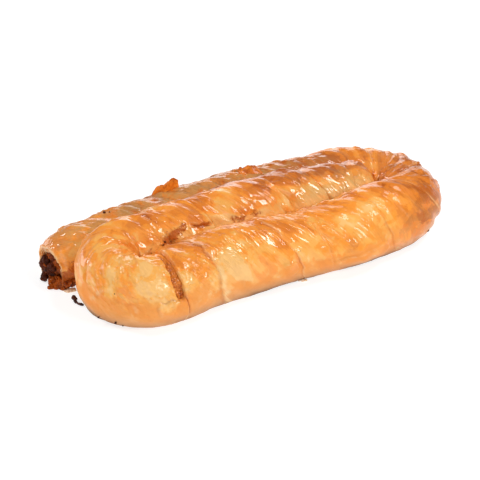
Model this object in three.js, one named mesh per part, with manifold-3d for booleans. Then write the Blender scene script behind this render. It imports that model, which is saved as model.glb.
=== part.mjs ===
// A long coiled meat pie: one rope of filo pastry round a meat filling, laid in an oblong spiral.
// The rope starts at an open end at the back left, runs to the right, turns round, comes back along
// the front, turns tightly at the left and ends between the two outer runs, where it rounds off.
// Millimetres, +Z up. The pie lies on Z = 0, its length is along X, and its front faces -Y.
import * as THREE from "three";
import { mergeVertices } from "three/addons/utils/BufferGeometryUtils.js";
import Module from "manifold-3d";

// The rope's centre line in plan.
const OPEN_X = -122.5; // open end of the back run
const OPEN_Y = 26.5;
const BACK_Y = 36.7;
const RIGHT_TURN_X = 74; // where the back run starts to turn
const RIGHT_TURN_REACH = 38.5; // how far the turn goes beyond that
const FRONT_Y = -28.3;
const FRONT_HOLD = 0.66; // share of the front run that stays straight before it drifts outwards
const LEFT_TURN_X = -79.5;
const LEFT_TURN_Y = -33.8;
const LEFT_HOLD = 0.18;
const MIDDLE_Y = 8.7;
const CLOSED_X = 91; // tip of the closed end
const LEFT_TURN_RADIUS = (MIDDLE_Y - LEFT_TURN_Y) / 2;

// Half width and height of the rope at places along it. A place is a leg's number and the share of the
// leg that lies behind it: leg 0 is the back run, 1 the right turn, 2 the front run, 3 the left turn and
// 4 the middle run. inner is how much further the rope spreads on the side that faces the middle.
const GIRTH = [
  { place: 0, half: 15, high: 25, inner: 0 },
  { place: 0.1, half: 17, high: 31.5, inner: 0 },
  { place: 0.25, half: 17.5, high: 34, inner: 0 },
  { place: 0.6, half: 17, high: 37.5, inner: 0 },
  { place: 1, half: 17, high: 36, inner: 1 },
  { place: 1.5, half: 17.5, high: 34.5, inner: 4.5 },
  { place: 2, half: 18.5, high: 43.5, inner: 1.5 },
  { place: 2.35, half: 19.5, high: 38, inner: 0.5 },
  { place: 2.7, half: 18.5, high: 43.5, inner: 1.5 },
  { place: 3, half: 20.5, high: 38, inner: 1.5 },
  { place: 3.5, half: 20.5, high: 38.5, inner: 0 },
  { place: 4, half: 18.5, high: 41.5, inner: 3 },
  { place: 4.5, half: 19.5, high: 45.5, inner: 0.5 },
  { place: 5, half: 19, high: 41.5, inner: 0.5 },
];
const WAIST = 0.46; // height of the widest point, as a share of the rope's height
const FOOT_SINK = 2.2; // how far the round section would reach below the tray, which presses it flat
const FOOT_POWER = 0.9; // below 1, the lower half is fuller than an ellipse
const CLOSED_CAP = 17; // length over which the closed end rounds off
const OPEN_ROUNDING = 2.2; // how far the open end's lip rolls in
const OPEN_RAGGED = 0.9;

// The twist of the dough. Sheet edges climb round the rope as a helix, and the rope swells between them.
const TWIST_ADVANCE = 9; // mm along the rope for each radian round it
const SEAM_TWIST = 0.15; // share of it that is left at the seam beside the left turn
const SEAM_CALM = 20; // how far along the rope the seam holds the twist back
const LIPS = [
  { place: 0.17, rise: 0.9 },
  { place: 0.37, rise: 1.1 },
  { place: 0.56, rise: 0.9 },
  { place: 0.76, rise: 1.2 },
  { place: 0.95, rise: 0.8 },
  { place: 1.25, rise: 1 },
  { place: 1.55, rise: 1.4 },
  { place: 1.86, rise: 0.9 },
  { place: 2.12, rise: 1.3 },
  { place: 2.38, rise: 0.7 },
  { place: 2.54, rise: 1.5 },
  { place: 2.88, rise: 1.8 },
  { place: 3.6, rise: 0.5 },
  { place: 4.13, rise: 0.8 },
  { place: 4.33, rise: 1.1 },
  { place: 4.66, rise: 1.3 },
];
const LOBE_SWELL = 1.5; // fullness of the rope between two sheet edges
const LIP_TAIL = 9; // length over which a sheet edge sinks back into the rope
const LIP_DROP = 1.2; // length of the drop in front of it
const PLEAT_DEPTH = 1.1; // gathers on the inner side of the turns
const PLEAT_SPACING = 12; // measured along the centre line
const CREASE_DEPTH = 0.3;
const CREASE_SPACING = 10.5;
const PINCH_LEFT = 0.8; // what stays open at the middle of the tight turn

// Welts of dough low on the front run's outer side.
const WELTS = [
  { place: 2.22, angle: 6, long: 34, wide: 5, high: 1.6 },
  { place: 2.49, angle: 4, long: 8, wide: 5, high: 1.2 },
  { place: 1.82, angle: 8, long: 16, wide: 4, high: 1 },
];

// The filling: a core that runs through the rope, low in the open end, where it wells out burnt.
const WALL = 6; // thickness of the pastry above it
const SIDE_WALL = 7; // and at its sides, where the runs press each other
const FLOOR_WALL = 3.4;
const CORE_GAP = 0.35; // clearance between filling and pastry
const OPEN_CORE = { half: 11, low: 2.4, high: 19.5, blend: 26, side: 0 };
const CORE_OUT = 4; // how far the filling stands out of the open end
const CORE_STOP = 15; // pastry left beyond it at the closed end
const BURNT_LUMPS = 7;
const SPILT_LUMPS = [-3, -8, -12]; // where more lumps lie at the foot of the open end, across the rope

// The split where the front run's end overlaps the left turn, open down to the filling.
const SEAM_PLACE = 2.96;
const SEAM_UNDER = 12; // how far the turn's dough reaches in under the front run
const SPLIT_FROM = -4; // degrees round the rope: 0 is its outer side, 90 its top
const SPLIT_TO = 128;
const SPLIT_WIDTH = 5.2;
const SPLIT_BELOW = 1.4; // filling's surface below the pastry's
const SPLIT_DEPTH = 10;

// Two torn flakes of the top sheet that stand up on the back run. rim holds the edge's height at even steps.
const FLAKES = [
  { place: 0.43, angle: 66, wide: 17, lean: 0.25, turn: 0.1, rim: [1, 4.2, 4.4, 5, 6.8, 6.4, 4] },
  { place: 0.715, angle: 84, wide: 14, lean: 0.7, turn: 0.6, rim: [0.5, 1.8, 2.4, 2.8, 3.2, 2.6, 0.6] },
];
const FLAKE_THICK = 1.2;
const FLAKE_ROOT = 2.5;

// Steps of the faceted skin.
const RING_STEP = 4.7;
const TOP_STEPS = 18; // round the upper part of the section
const FOOT_STEPS = 6; // round its foot
const FOOT_FROM = 205; // degrees
const FOOT_TO = 335;
const CORE_STEP = 10;
const CORE_SIDES = 12;
const SEED = 20;

const wasm = await Module();
wasm.setup();

const rad = THREE.MathUtils.degToRad;
const lerp = THREE.MathUtils.lerp;
const clamp = THREE.MathUtils.clamp;
const smooth = THREE.MathUtils.smoothstep;

// The same numbers in every run.
function seeded(seed) {
  let state = seed;
  return () => {
    state = (Math.imul(state, 1664525) + 1013904223) >>> 0;
    return state / 4294967296;
  };
}

// The centre line, leg by leg, as curves in plan.
function makeRoute() {
  const turnY = (BACK_Y + FRONT_Y) / 2;
  const leftY = (LEFT_TURN_Y + MIDDLE_Y) / 2;
  const run = RIGHT_TURN_X - LEFT_TURN_X;
  const v = (x, y) => new THREE.Vector2(x, y);
  return [
    new THREE.QuadraticBezierCurve(v(OPEN_X, OPEN_Y), v(LEFT_TURN_X, BACK_Y), v(RIGHT_TURN_X, BACK_Y)),
    new THREE.EllipseCurve(
      RIGHT_TURN_X, turnY, RIGHT_TURN_REACH, (BACK_Y - FRONT_Y) / 2, Math.PI / 2, -Math.PI / 2, true,
    ),
    new THREE.CubicBezierCurve(
      v(RIGHT_TURN_X, FRONT_Y),
      v(RIGHT_TURN_X - run * FRONT_HOLD, FRONT_Y),
      v(LEFT_TURN_X + run * LEFT_HOLD, LEFT_TURN_Y),
      v(LEFT_TURN_X, LEFT_TURN_Y),
    ),
    new THREE.EllipseCurve(
      LEFT_TURN_X, leftY, LEFT_TURN_RADIUS, LEFT_TURN_RADIUS, -Math.PI / 2, -1.5 * Math.PI, true,
    ),
    new THREE.LineCurve(v(LEFT_TURN_X, MIDDLE_Y), v(CLOSED_X, MIDDLE_Y)),
  ];
}

const route = makeRoute();
const legLengths = route.map((leg) => leg.getLength());
const legStarts = legLengths.map((_, i) => legLengths.slice(0, i).reduce((a, b) => a + b, 0));
const total = legStarts[4] + legLengths[4];

const lengthAt = (place) => {
  const leg = Math.min(Math.floor(place), route.length - 1);
  return legStarts[leg] + (place - leg) * legLengths[leg];
};

const legAt = (s) => {
  let leg = route.length - 1;
  while (leg > 0 && s < legStarts[leg]) leg -= 1;
  return leg;
};

// Point of the centre line at a length, with the direction that points to the rope's outer side.
function centreAt(s) {
  const leg = legAt(s);
  const share = clamp((s - legStarts[leg]) / legLengths[leg], 0, 1);
  const point = route[leg].getPointAt(share);
  const ahead = route[leg].getTangentAt(share);
  const beyond = s - clamp(s, 0, total);
  return { x: point.x + ahead.x * beyond, y: point.y + ahead.y * beyond, outX: -ahead.y, outY: ahead.x };
}

const girthStations = GIRTH.map((g) => ({ s: lengthAt(g.place), ...g }));

function girthAt(s) {
  const at = clamp(s, 0, total);
  let i = 0;
  while (i < girthStations.length - 2 && at > girthStations[i + 1].s) i += 1;
  const [a, b] = [girthStations[i], girthStations[i + 1]];
  const share = smooth(at, a.s, b.s);
  const mix = (key) => lerp(a[key], b[key], share);
  return { half: mix("half"), high: mix("high"), inner: mix("inner") };
}

// 1 inside a turn and 0 on the runs, with a soft edge.
function turning(s, leg) {
  const edge = 12;
  const into = smooth(s, legStarts[leg] - edge, legStarts[leg] + edge);
  return into * (1 - smooth(s, legStarts[leg + 1] - edge, legStarts[leg + 1] + edge));
}

const seam = lengthAt(SEAM_PLACE);
const lips = [
  { s: -20, rise: 0 },
  ...LIPS.map(({ place, rise }) => ({ s: lengthAt(place), rise })),
  { s: seam, rise: 1.2 },
  { s: total + 20, rise: 0 },
].sort((a, b) => a.s - b.s);

// The rope's swelling between two sheet edges, and the edge itself, at a length counted along the twist.
function lobeAt(along) {
  let i = 0;
  while (i < lips.length - 2 && along > lips[i + 1].s) i += 1;
  const [a, b] = [lips[i], lips[i + 1]];
  const share = clamp((along - a.s) / (b.s - a.s), 0, 1);
  const swell = LOBE_SWELL * (Math.sqrt(4 * share * (1 - share)) - 0.8);
  const edge = b.rise * Math.exp((along - b.s) / LIP_TAIL);
  return swell + edge - 0.3;
}

// Height of the relief on the rope's skin, outwards, at a length and an angle round the rope.
function reliefAt(s, angle) {
  const fromTop = angle - Math.PI / 2;
  let high = lobeAt(ringThrough(s, angle));
  const fine = (2 * Math.PI * (s - 1.9 * TWIST_ADVANCE * fromTop)) / CREASE_SPACING;
  high += CREASE_DEPTH * (Math.cos(fine) + Math.cos(0.62 * fine + 1));
  const inner = smooth(-Math.cos(angle), -0.3, 1) * Math.max(turning(s, 1), turning(s, 3));
  high -= PLEAT_DEPTH * inner * (1 - Math.cos((2 * Math.PI * s) / PLEAT_SPACING));
  for (const welt of WELTS) {
    const ds = (s - lengthAt(welt.place)) / (welt.long / 2);
    const da = ((angle - rad(welt.angle)) * 20) / welt.wide;
    high += welt.high * Math.exp(-(ds ** 2) - da ** 2);
  }
  return high;
}

// Share of the full section that is left where the closed end rounds off.
function capAt(s) {
  const into = clamp((s - (total - CLOSED_CAP)) / CLOSED_CAP, 0, 1);
  return Math.sqrt(Math.max(0, 1 - into * into));
}

// A point of the rope's skin. deeper is how far below the skin it lies.
function skinAt(s, angle, deeper = 0) {
  const { half, high, inner } = girthAt(s);
  const cap = capAt(s);
  const rolled = OPEN_ROUNDING * (1 - smooth(s, 0, 2 * OPEN_ROUNDING));
  const waist = WAIST * high * lerp(0.8, 1, cap);
  const [c, q] = [Math.cos(angle), Math.sin(angle)];
  const fade = lerp(0.7, 1, smooth(q, -0.75, -0.2)) * cap;
  const out = reliefAt(s, angle) * fade - deeper - rolled * smooth(q, -1, 0);
  const reach = (half + (c < 0 ? inner : 0)) * cap + out;
  const across = reach * (q < 0 ? Math.sign(c) * Math.abs(c) ** FOOT_POWER : c);
  const pinch = lerp(3 * half, LEFT_TURN_RADIUS - PINCH_LEFT, turning(s, 3));
  const wide = Math.max(across, -pinch);
  const up =
    q < 0
      ? waist - (waist + FOOT_SINK - deeper) * cap * Math.abs(q) ** FOOT_POWER
      : waist + ((high - waist) * cap + out) * q;
  const centre = centreAt(s);
  return [centre.x + centre.outX * wide, centre.y + centre.outY * wide, Math.max(up, 0)];
}

// A closed solid from rings of points: rings joined side by side, and a fan over each end.
function solidOfRings(rings) {
  const sides = rings[0].length;
  const points = rings.flat();
  const faces = [];
  const at = (i, j) => i * sides + (j % sides);
  for (let i = 0; i < rings.length - 1; i += 1)
    for (let j = 0; j < sides; j += 1) {
      faces.push(at(i, j), at(i, j + 1), at(i + 1, j + 1));
      faces.push(at(i, j), at(i + 1, j + 1), at(i + 1, j));
    }
  const middle = (ring) => [0, 1, 2].map((k) => ring.reduce((sum, p) => sum + p[k], 0) / ring.length);
  const last = rings.length - 1;
  points.push(middle(rings[0]), middle(rings[last]));
  for (let j = 0; j < sides; j += 1) {
    faces.push(points.length - 2, at(0, j + 1), at(0, j));
    faces.push(points.length - 1, at(last, j), at(last, j + 1));
  }
  return solidOf(points, faces);
}

// A manifold solid of points and triangles. Points that coincide are merged.
function solidOf(points, faces) {
  const loose = new THREE.BufferGeometry();
  loose.setAttribute("position", new THREE.Float32BufferAttribute(points.flat(), 3));
  loose.setIndex(faces);
  const merged = mergeVertices(loose, 1e-4);
  const index = [];
  const old = merged.index.array;
  for (let i = 0; i < old.length; i += 3) {
    const [a, b, c] = [old[i], old[i + 1], old[i + 2]];
    if (a !== b && b !== c && c !== a) index.push(a, b, c);
  }
  const mesh = new wasm.Mesh({
    numProp: 3,
    vertProperties: merged.attributes.position.array,
    triVerts: new Uint32Array(index),
  });
  const solid = new wasm.Manifold(mesh);
  if (solid.volume() > 0) return solid;
  for (let i = 0; i < index.length; i += 3) [index[i + 1], index[i + 2]] = [index[i + 2], index[i + 1]];
  mesh.triVerts = new Uint32Array(index);
  return new wasm.Manifold(mesh);
}

// Angles round the section: fine over the top and sides, coarse under the foot.
function sectionAngles() {
  const top = FOOT_FROM - (FOOT_TO - 360);
  const upper = Array.from({ length: TOP_STEPS }, (_, i) => FOOT_TO - 360 + (top * i) / TOP_STEPS);
  const step = (FOOT_TO - FOOT_FROM) / FOOT_STEPS;
  const foot = Array.from({ length: FOOT_STEPS }, (_, i) => FOOT_FROM + step * i);
  return [...upper, ...foot].map(rad);
}

// How far a ring is skewed along the rope at an angle, so that it follows the twist over the top and sides.
function skewAt(s, angle) {
  const fromTop = angle - Math.PI / 2;
  const edge = rad(FOOT_FROM) - Math.PI / 2;
  const over = fromTop <= edge ? fromTop : edge * (1 - (2 * (fromTop - edge)) / (2 * Math.PI - 2 * edge));
  const ends = smooth(s, 0, 40) * (1 - smooth(s, total - 55, total - 20));
  const calm = 1 - (1 - SEAM_TWIST) * Math.exp(-(((s - seam) / SEAM_CALM) ** 2));
  return TWIST_ADVANCE * over * ends * calm;
}

// The ring that passes through a length and an angle.
function ringThrough(s, angle) {
  let ring = s;
  for (let i = 0; i < 6; i += 1) ring = s - skewAt(ring, angle);
  return ring;
}

// Lengths of the rings from one place to another: even steps, with a pair of rings at each sheet edge.
function ringLengths(from, to) {
  const stops = lips.map((lip) => lip.s).filter((s) => s > from + RING_STEP && s < to - RING_STEP);
  const lengths = [];
  let start = from;
  for (const stop of [...stops, to]) {
    const end = stop === to ? to : stop - LIP_DROP / 2;
    const steps = Math.max(1, Math.round((end - start) / RING_STEP));
    for (let i = 0; i < steps; i += 1) lengths.push(lerp(start, end, i / steps));
    lengths.push(end);
    start = stop + LIP_DROP / 2;
  }
  return lengths;
}

const ringAt = (s, depth) => sectionAngles().map((angle) => skinAt(s + skewAt(s, angle), angle, depth));

// The back run, the right turn and the front run, from the open end to the seam.
function outerRope() {
  const rings = ringLengths(0, seam - LIP_DROP / 2).map((s) => ringAt(s, 0));
  rings[0] = sectionAngles().map((angle) => {
    const ragged = OPEN_RAGGED * (Math.sin(3 * angle + 1) + Math.sin(7 * angle));
    return skinAt(ragged, angle, 0);
  });
  rings.push(ringAt(seam + LIP_DROP / 2, 5));
  return solidOfRings(rings);
}

// The left turn and the middle run. Its first part lies under the front run's end.
function innerRope() {
  const rings = ringLengths(seam + LIP_DROP / 2, total).map((s, i) => ringAt(s, i === 0 ? 1 : 0));
  rings.unshift(ringAt(seam - LIP_DROP, 2.2));
  rings.unshift(ringAt(seam - SEAM_UNDER, 5));
  return solidOfRings(rings);
}

// A ring of the filling's core, grown by the clearance where it is used to cut the pastry.
function coreRing(s, grow, out = 0) {
  const { half, high } = girthAt(s);
  const open = 1 - smooth(s, 0, OPEN_CORE.blend);
  const bulge = 1 + 0.05 * Math.sin(s / 7) + 0.04 * Math.sin(s / 3.1);
  const wide = lerp((half - SIDE_WALL) * bulge, OPEN_CORE.half, open) + grow;
  const low = lerp(FLOOR_WALL, OPEN_CORE.low, open) - grow;
  const top = lerp(high - WALL, OPEN_CORE.high, open) + grow;
  const centre = centreAt(s - out);
  return Array.from({ length: CORE_SIDES }, (_, j) => {
    const angle = (2 * Math.PI * j) / CORE_SIDES;
    const side = Math.cos(angle) * wide + OPEN_CORE.side * open;
    return [
      centre.x + centre.outX * side,
      centre.y + centre.outY * side,
      (low + top) / 2 + (Math.sin(angle) * (top - low)) / 2,
    ];
  });
}

// The core from the open end to the closed one. out is how far it stands out, shrunk to a blunt nose.
function coreSolid(grow, out) {
  const stop = total - CORE_STOP - CLOSED_CAP / 2;
  const steps = Math.round(stop / CORE_STEP);
  const rings = [];
  for (let i = 0; i <= steps; i += 1) rings.push(coreRing((stop * i) / steps, grow));
  if (grow > 0) {
    rings.unshift(coreRing(0, grow, CORE_OUT * 2));
    rings.push(coreRing(stop + grow, grow));
  } else rings.unshift(coreRing(0, -out * 0.5, out));
  return solidOfRings(rings);
}

// The blade of filling that wells up in the split, from the core to just under the pastry's skin.
function splitBlade(grow) {
  const steps = 10;
  const rings = [];
  for (let i = 0; i <= steps; i += 1) {
    const degrees = lerp(SPLIT_FROM - 4 * grow, SPLIT_TO + 4 * grow, i / steps);
    const share = clamp((degrees - SPLIT_FROM) / (SPLIT_TO - SPLIT_FROM), 0.06, 0.94);
    const angle = rad(degrees);
    const half = (SPLIT_WIDTH * Math.sin(Math.PI * share) ** 0.7) / 2 + grow;
    const at = seam + SPLIT_WIDTH / 2 + skewAt(seam, angle);
    const top = grow > 0 ? -6 : SPLIT_BELOW;
    rings.push([
      skinAt(at - half, angle, top),
      skinAt(at + half, angle, top),
      skinAt(at + half, angle, SPLIT_DEPTH),
      skinAt(at - half, angle, SPLIT_DEPTH),
    ]);
  }
  return solidOfRings(rings);
}

// A rough ball of minced meat.
function lumpSolid(centre, size, random) {
  const ball = new THREE.IcosahedronGeometry(size, 1);
  ball.deleteAttribute("normal");
  ball.deleteAttribute("uv");
  const round = mergeVertices(ball, 1e-4);
  const spots = round.attributes.position;
  const points = [];
  for (let k = 0; k < spots.count; k += 1) {
    const rough = 0.8 + 0.4 * random();
    const up = Math.max(centre[2] + spots.getZ(k) * rough, 0.4);
    points.push([centre[0] + spots.getX(k) * rough, centre[1] + spots.getY(k) * rough, up]);
  }
  return solidOf(points, [...round.index.array]);
}

// The lumps at the open end: a cluster that hangs in its mouth and a few at its foot.
function burntLumps() {
  const random = seeded(SEED + 2);
  const end = centreAt(0);
  const middle = (OPEN_CORE.high + OPEN_CORE.low) / 2;
  const lumpAt = (side, out, up, size) => {
    const x = end.x + end.outX * side - end.outY * out;
    const y = end.y + end.outY * side + end.outX * out;
    return lumpSolid([x, y, up], size, random);
  };
  const mouth = Array.from({ length: BURNT_LUMPS }, (_, i) => {
    const around = (2 * Math.PI * i) / BURNT_LUMPS + 0.5;
    const side = OPEN_CORE.side + OPEN_CORE.half * 0.62 * Math.cos(around);
    const out = CORE_OUT * (0.5 + 0.35 * random());
    return lumpAt(side, out, middle - 1 + OPEN_CORE.high * 0.3 * Math.sin(around), 2.2 + 1.9 * random());
  });
  const foot = SPILT_LUMPS.map((side) => lumpAt(side, 1.6, 4.2, 3.3));
  return [...mouth, ...foot];
}

// A torn flake: a thin curved sheet that rises from the skin, rooted in the rope.
function flakeSolid({ place, angle, wide, lean, turn, rim }) {
  const across = rim.length - 1;
  const up = 3;
  const s = lengthAt(place);
  const face = (thick) => {
    const points = [];
    for (let i = 0; i <= across; i += 1)
      for (let j = 0; j <= up; j += 1) {
        const share = i / across;
        const rise = lerp(-FLAKE_ROOT, rim[i], j / up);
        const root = skinAt(s + (share - 0.5) * wide, rad(angle) + turn * (share - 0.5), 0);
        const back = lean * Math.max(rise, 0) + 0.9 * Math.sin(share * 5) * (j / up);
        points.push([root[0], root[1] + back + thick / 2, root[2] + rise * (1 - 0.2 * lean)]);
      }
    return points;
  };
  const near = face(-FLAKE_THICK);
  const far = face(FLAKE_THICK);
  const count = near.length;
  const at = (i, j) => i * (up + 1) + j;
  const faces = [];
  for (let i = 0; i < across; i += 1)
    for (let j = 0; j < up; j += 1) {
      const [a, b, c, d] = [at(i, j), at(i + 1, j), at(i + 1, j + 1), at(i, j + 1)];
      faces.push(a, b, c, a, c, d, count + a, count + c, count + b, count + a, count + d, count + c);
    }
  const edge = [];
  for (let i = 0; i < across; i += 1) edge.push(at(i, 0));
  for (let j = 0; j < up; j += 1) edge.push(at(across, j));
  for (let i = across; i > 0; i -= 1) edge.push(at(i, up));
  for (let j = up; j > 0; j -= 1) edge.push(at(0, j));
  edge.forEach((a, k) => {
    const b = edge[(k + 1) % edge.length];
    faces.push(a, count + a, count + b, a, count + b, b);
  });
  return solidOf([...near, ...far], faces);
}

// A three.js mesh of a manifold solid.
function meshOf(name, solid, colour, roughness) {
  const made = solid.getMesh();
  const geometry = new THREE.BufferGeometry();
  geometry.setAttribute("position", new THREE.BufferAttribute(made.vertProperties, 3));
  geometry.setIndex(new THREE.BufferAttribute(made.triVerts, 1));
  geometry.computeVertexNormals();
  const material = new THREE.MeshStandardMaterial({ color: colour, roughness, metalness: 0 });
  const mesh = new THREE.Mesh(geometry, material);
  mesh.name = name;
  return mesh;
}

// The pastry, without the loose scraps and the pinholes that joining leaves where the runs touch.
function makePastry() {
  let pastry = outerRope().add(innerRope());
  for (const flake of FLAKES) pastry = pastry.add(flakeSolid(flake));
  pastry = pastry.subtract(coreSolid(CORE_GAP, 0)).subtract(splitBlade(CORE_GAP));
  return pastry.decompose().sort((a, b) => b.volume() - a.volume())[0];
}

// The core with its lumps, which are trimmed clear of the pastry's rim.
function makeFilling(pastry) {
  const end = centreAt(0);
  const clear = pastry.translate([-end.outY * CORE_GAP, end.outX * CORE_GAP, 0]);
  let filling = coreSolid(0, CORE_OUT).add(splitBlade(0));
  for (const lump of burntLumps()) filling = filling.add(lump.subtract(pastry).subtract(clear));
  return filling;
}

const pie = new THREE.Group();
const pastrySolid = makePastry();
pie.add(meshOf("pastry", pastrySolid, 0xe0913a, 0.3));
pie.add(meshOf("filling", makeFilling(pastrySolid), 0x3a1c10, 0.6));

export default pie;
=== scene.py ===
import math

import bmesh
import bpy
import numpy as np
from mathutils import Matrix, Vector


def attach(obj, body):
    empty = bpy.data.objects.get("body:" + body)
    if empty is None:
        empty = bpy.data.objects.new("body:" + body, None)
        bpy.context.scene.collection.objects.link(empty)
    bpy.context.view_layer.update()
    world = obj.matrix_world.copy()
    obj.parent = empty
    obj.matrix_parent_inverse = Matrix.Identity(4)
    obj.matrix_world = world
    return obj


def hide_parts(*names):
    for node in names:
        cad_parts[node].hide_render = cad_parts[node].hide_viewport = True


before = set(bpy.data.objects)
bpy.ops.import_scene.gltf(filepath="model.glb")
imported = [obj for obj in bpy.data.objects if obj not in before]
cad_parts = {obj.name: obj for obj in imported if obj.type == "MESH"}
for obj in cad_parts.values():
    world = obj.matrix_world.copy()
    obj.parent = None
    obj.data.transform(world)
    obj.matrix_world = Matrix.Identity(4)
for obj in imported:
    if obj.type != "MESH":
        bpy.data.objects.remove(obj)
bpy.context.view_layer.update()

bl_info = {
    "name": "Coiled Meat Pie",
    "version": (1, 0, 0),
    "blender": (4, 5, 0),
    "location": "View3D > Sidebar > Pie",
    "description": "A glazed rope of filo pastry, coiled flat round a meat filling",
    "category": "Object",
}

# Shapes are worked out in millimetres, as in the solid model, and made into metres with each mesh.
MM = 0.001

# The rope's route and girth

# A place is a leg's number and the share of the leg that lies behind it. Leg 0 is the back run, 1 the
# right turn, 2 the front run, 3 the left turn and 4 the middle run. Angle 0 is the rope's outer side,
# 90 degrees its top and 180 the side that faces the middle of the coil.
OPEN_END = (-122.5, 26.5)
BACK_Y = 36.7
RIGHT_TURN_X = 74.0
RIGHT_TURN_REACH = 38.5
FRONT_Y = -28.3
FRONT_HOLD = 0.66
LEFT_TURN = (-79.5, -33.8)
LEFT_HOLD = 0.18
MIDDLE_Y = 8.7
CLOSED_X = 91.0
LEFT_TURN_RADIUS = (MIDDLE_Y - LEFT_TURN[1]) / 2
ROUTE_STEPS = 4001
TURN_EDGE = 12.0
TOP = math.pi / 2
ROUND = 20.0  # mm of skin for each radian round the rope

# place, half width, height, and how much further the rope spreads towards the middle of the coil
GIRTH = np.array([
    (0, 15, 25, 0), (0.1, 17, 31.5, 0), (0.25, 17.5, 34, 0), (0.6, 17, 37.5, 0), (1, 17, 36, 1),
    (1.5, 17.5, 34.5, 4.5), (2, 18.5, 43.5, 1.5), (2.35, 19.5, 38, 0.5), (2.7, 18.5, 43.5, 1.5),
    (3, 20.5, 38, 1.5), (3.5, 20.5, 38.5, 0), (4, 18.5, 41.5, 3), (4.5, 19.5, 45.5, 0.5),
    (5, 19, 41.5, 0.5),
])
WAIST = 0.46  # share of the height at which the rope is widest
CAP_WAIST = 0.8  # times the waist, at the tip of the closed end
UNDER_RELIEF = 0.7  # share of the relief that is left on the underside
FOOT_FROM = 205  # degrees
FOOT_SINK = 2.2
FOOT_POWER = 0.9
FLARE_HEIGHT = 1.4
CLOSED_CAP = 17.0
OPEN_ROUNDING = 2.2
PINCH_LEFT = 0.8

# The solid model's relief

TWIST_ADVANCE = 9.0  # mm along the rope for each radian round it
TWIST_STARTS = 40.0  # mm from the open end to the full twist
TWIST_ENDS = (55.0, 20.0)  # mm before the closed end where the twist fades
SEAM_PLACE = 2.96
SEAM_TWIST = 0.15
SEAM_CALM = 20.0
SEAM_NEAR = 10.0
SEAM_SHUT = 9.0
SEAM_RISE = 1.2
# place and height of the sheet edges that climb round the rope, and the places of those that show all round
LIPS = [
    (0.17, 0.9), (0.37, 1.1), (0.56, 0.9), (0.76, 1.2), (0.95, 0.8), (1.25, 0.6), (1.55, 1.6), (1.86, 0.9),
    (2.12, 1.3), (2.38, 0.7), (2.54, 1.5), (2.845, 2.0), (3.6, 0.5), (4.065, 0.8), (4.235, 1.4),
    (4.54, 2.2), (4.7, 1.5), (4.88, 0.8),
]
BOLD_LIPS = (2.845,)
LIP_TAIL = 9.0
LIP_BEYOND = 20.0  # mm past each end where the sheet edges that bound the first and last lobe lie
# how the sheet edges waver: the noise, its sizes in mm along the rope and round it, and how far they go
WAVERS = [(23, (30, 8), 1.1), (24, (30, 3), 0.35)]
LOBE_SWELL = 1.5
MIDDLE_SWELL = 3.2
PLEAT_SPACING = 12.0
GATHER_DEPTH = 1.1
CREASE_SPACING = 10.5
CREASE_DEPTH = 0.3
# place, angle, length, width and height of the welts low on the front
WELTS = [(2.22, 6, 34, 5, 1.6), (2.49, 4, 8, 5, 1.2), (1.82, 8, 16, 4, 1.0)]

# The split beside the left turn: the angles that it runs between, and its width
SPLIT_FROM = 5
SPLIT_TO = 106
SPLIT_WIDTH = 5.4


def smooth(x, a, b):
    """0 up to a and 1 from b on, with an even slope between them."""
    t = np.clip((x - a) / (b - a), 0, 1)
    return t * t * (3 - 2 * t)


def mix(a, b, t):
    return a + (b - a) * t


def hump(off, width):
    """1 where off is 0, falling away on both sides."""
    return np.exp(-(off / width) ** 2)


def bezier(*points):
    """A curve from the first point to the last, drawn towards those between them."""
    t, last = np.linspace(0, 1, ROUTE_STEPS)[:, None], len(points) - 1
    return sum(
        math.comb(last, k) * (1 - t) ** (last - k) * t ** k * np.array(point)
        for k, point in enumerate(points)
    )


def half_turn(x, y, reach_x, reach_y, first):
    """Half an ellipse, clockwise from an angle given in half turns."""
    around = math.pi * (first - np.linspace(0, 1, ROUTE_STEPS)[:, None])
    return np.hstack([x + reach_x * np.cos(around), y + reach_y * np.sin(around)])


def make_route():
    run = RIGHT_TURN_X - LEFT_TURN[0]
    held = (RIGHT_TURN_X - run * FRONT_HOLD, FRONT_Y)
    drawn = (LEFT_TURN[0] + run * LEFT_HOLD, LEFT_TURN[1])
    return [
        bezier(OPEN_END, (LEFT_TURN[0], BACK_Y), (RIGHT_TURN_X, BACK_Y)),
        half_turn(RIGHT_TURN_X, (BACK_Y + FRONT_Y) / 2, RIGHT_TURN_REACH, (BACK_Y - FRONT_Y) / 2, 0.5),
        bezier((RIGHT_TURN_X, FRONT_Y), held, drawn, LEFT_TURN),
        half_turn(LEFT_TURN[0], (LEFT_TURN[1] + MIDDLE_Y) / 2, LEFT_TURN_RADIUS, LEFT_TURN_RADIUS, -0.5),
        bezier((LEFT_TURN[0], MIDDLE_Y), (CLOSED_X, MIDDLE_Y)),
    ]


ROUTE = make_route()
LEG_LENGTHS = np.array([np.linalg.norm(np.diff(leg, axis=0), axis=1).sum() for leg in ROUTE])
LEG_STARTS = np.concatenate([[0], np.cumsum(LEG_LENGTHS)])
TOTAL = LEG_STARTS[-1]
LINE = np.vstack([ROUTE[0]] + [leg[1:] for leg in ROUTE[1:]])
LINE_S = np.concatenate([[0], np.cumsum(np.linalg.norm(np.diff(LINE, axis=0), axis=1))])
AHEAD = np.gradient(LINE, LINE_S, axis=0)


def length_at(place):
    """Length of rope from the open end to a place."""
    leg = min(int(place), 4)
    return LEG_STARTS[leg] + (place - leg) * LEG_LENGTHS[leg]


SEAM = length_at(SEAM_PLACE)
GIRTH_S = np.array([length_at(place) for place in GIRTH[:, 0]])
LIP_LIST = sorted(
    [(length_at(place), rise) for place, rise in LIPS]
    + [(-LIP_BEYOND, 0), (SEAM, SEAM_RISE), (TOTAL + LIP_BEYOND, 0)]
)
LIP_S, LIP_RISE = np.array(LIP_LIST).T


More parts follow.
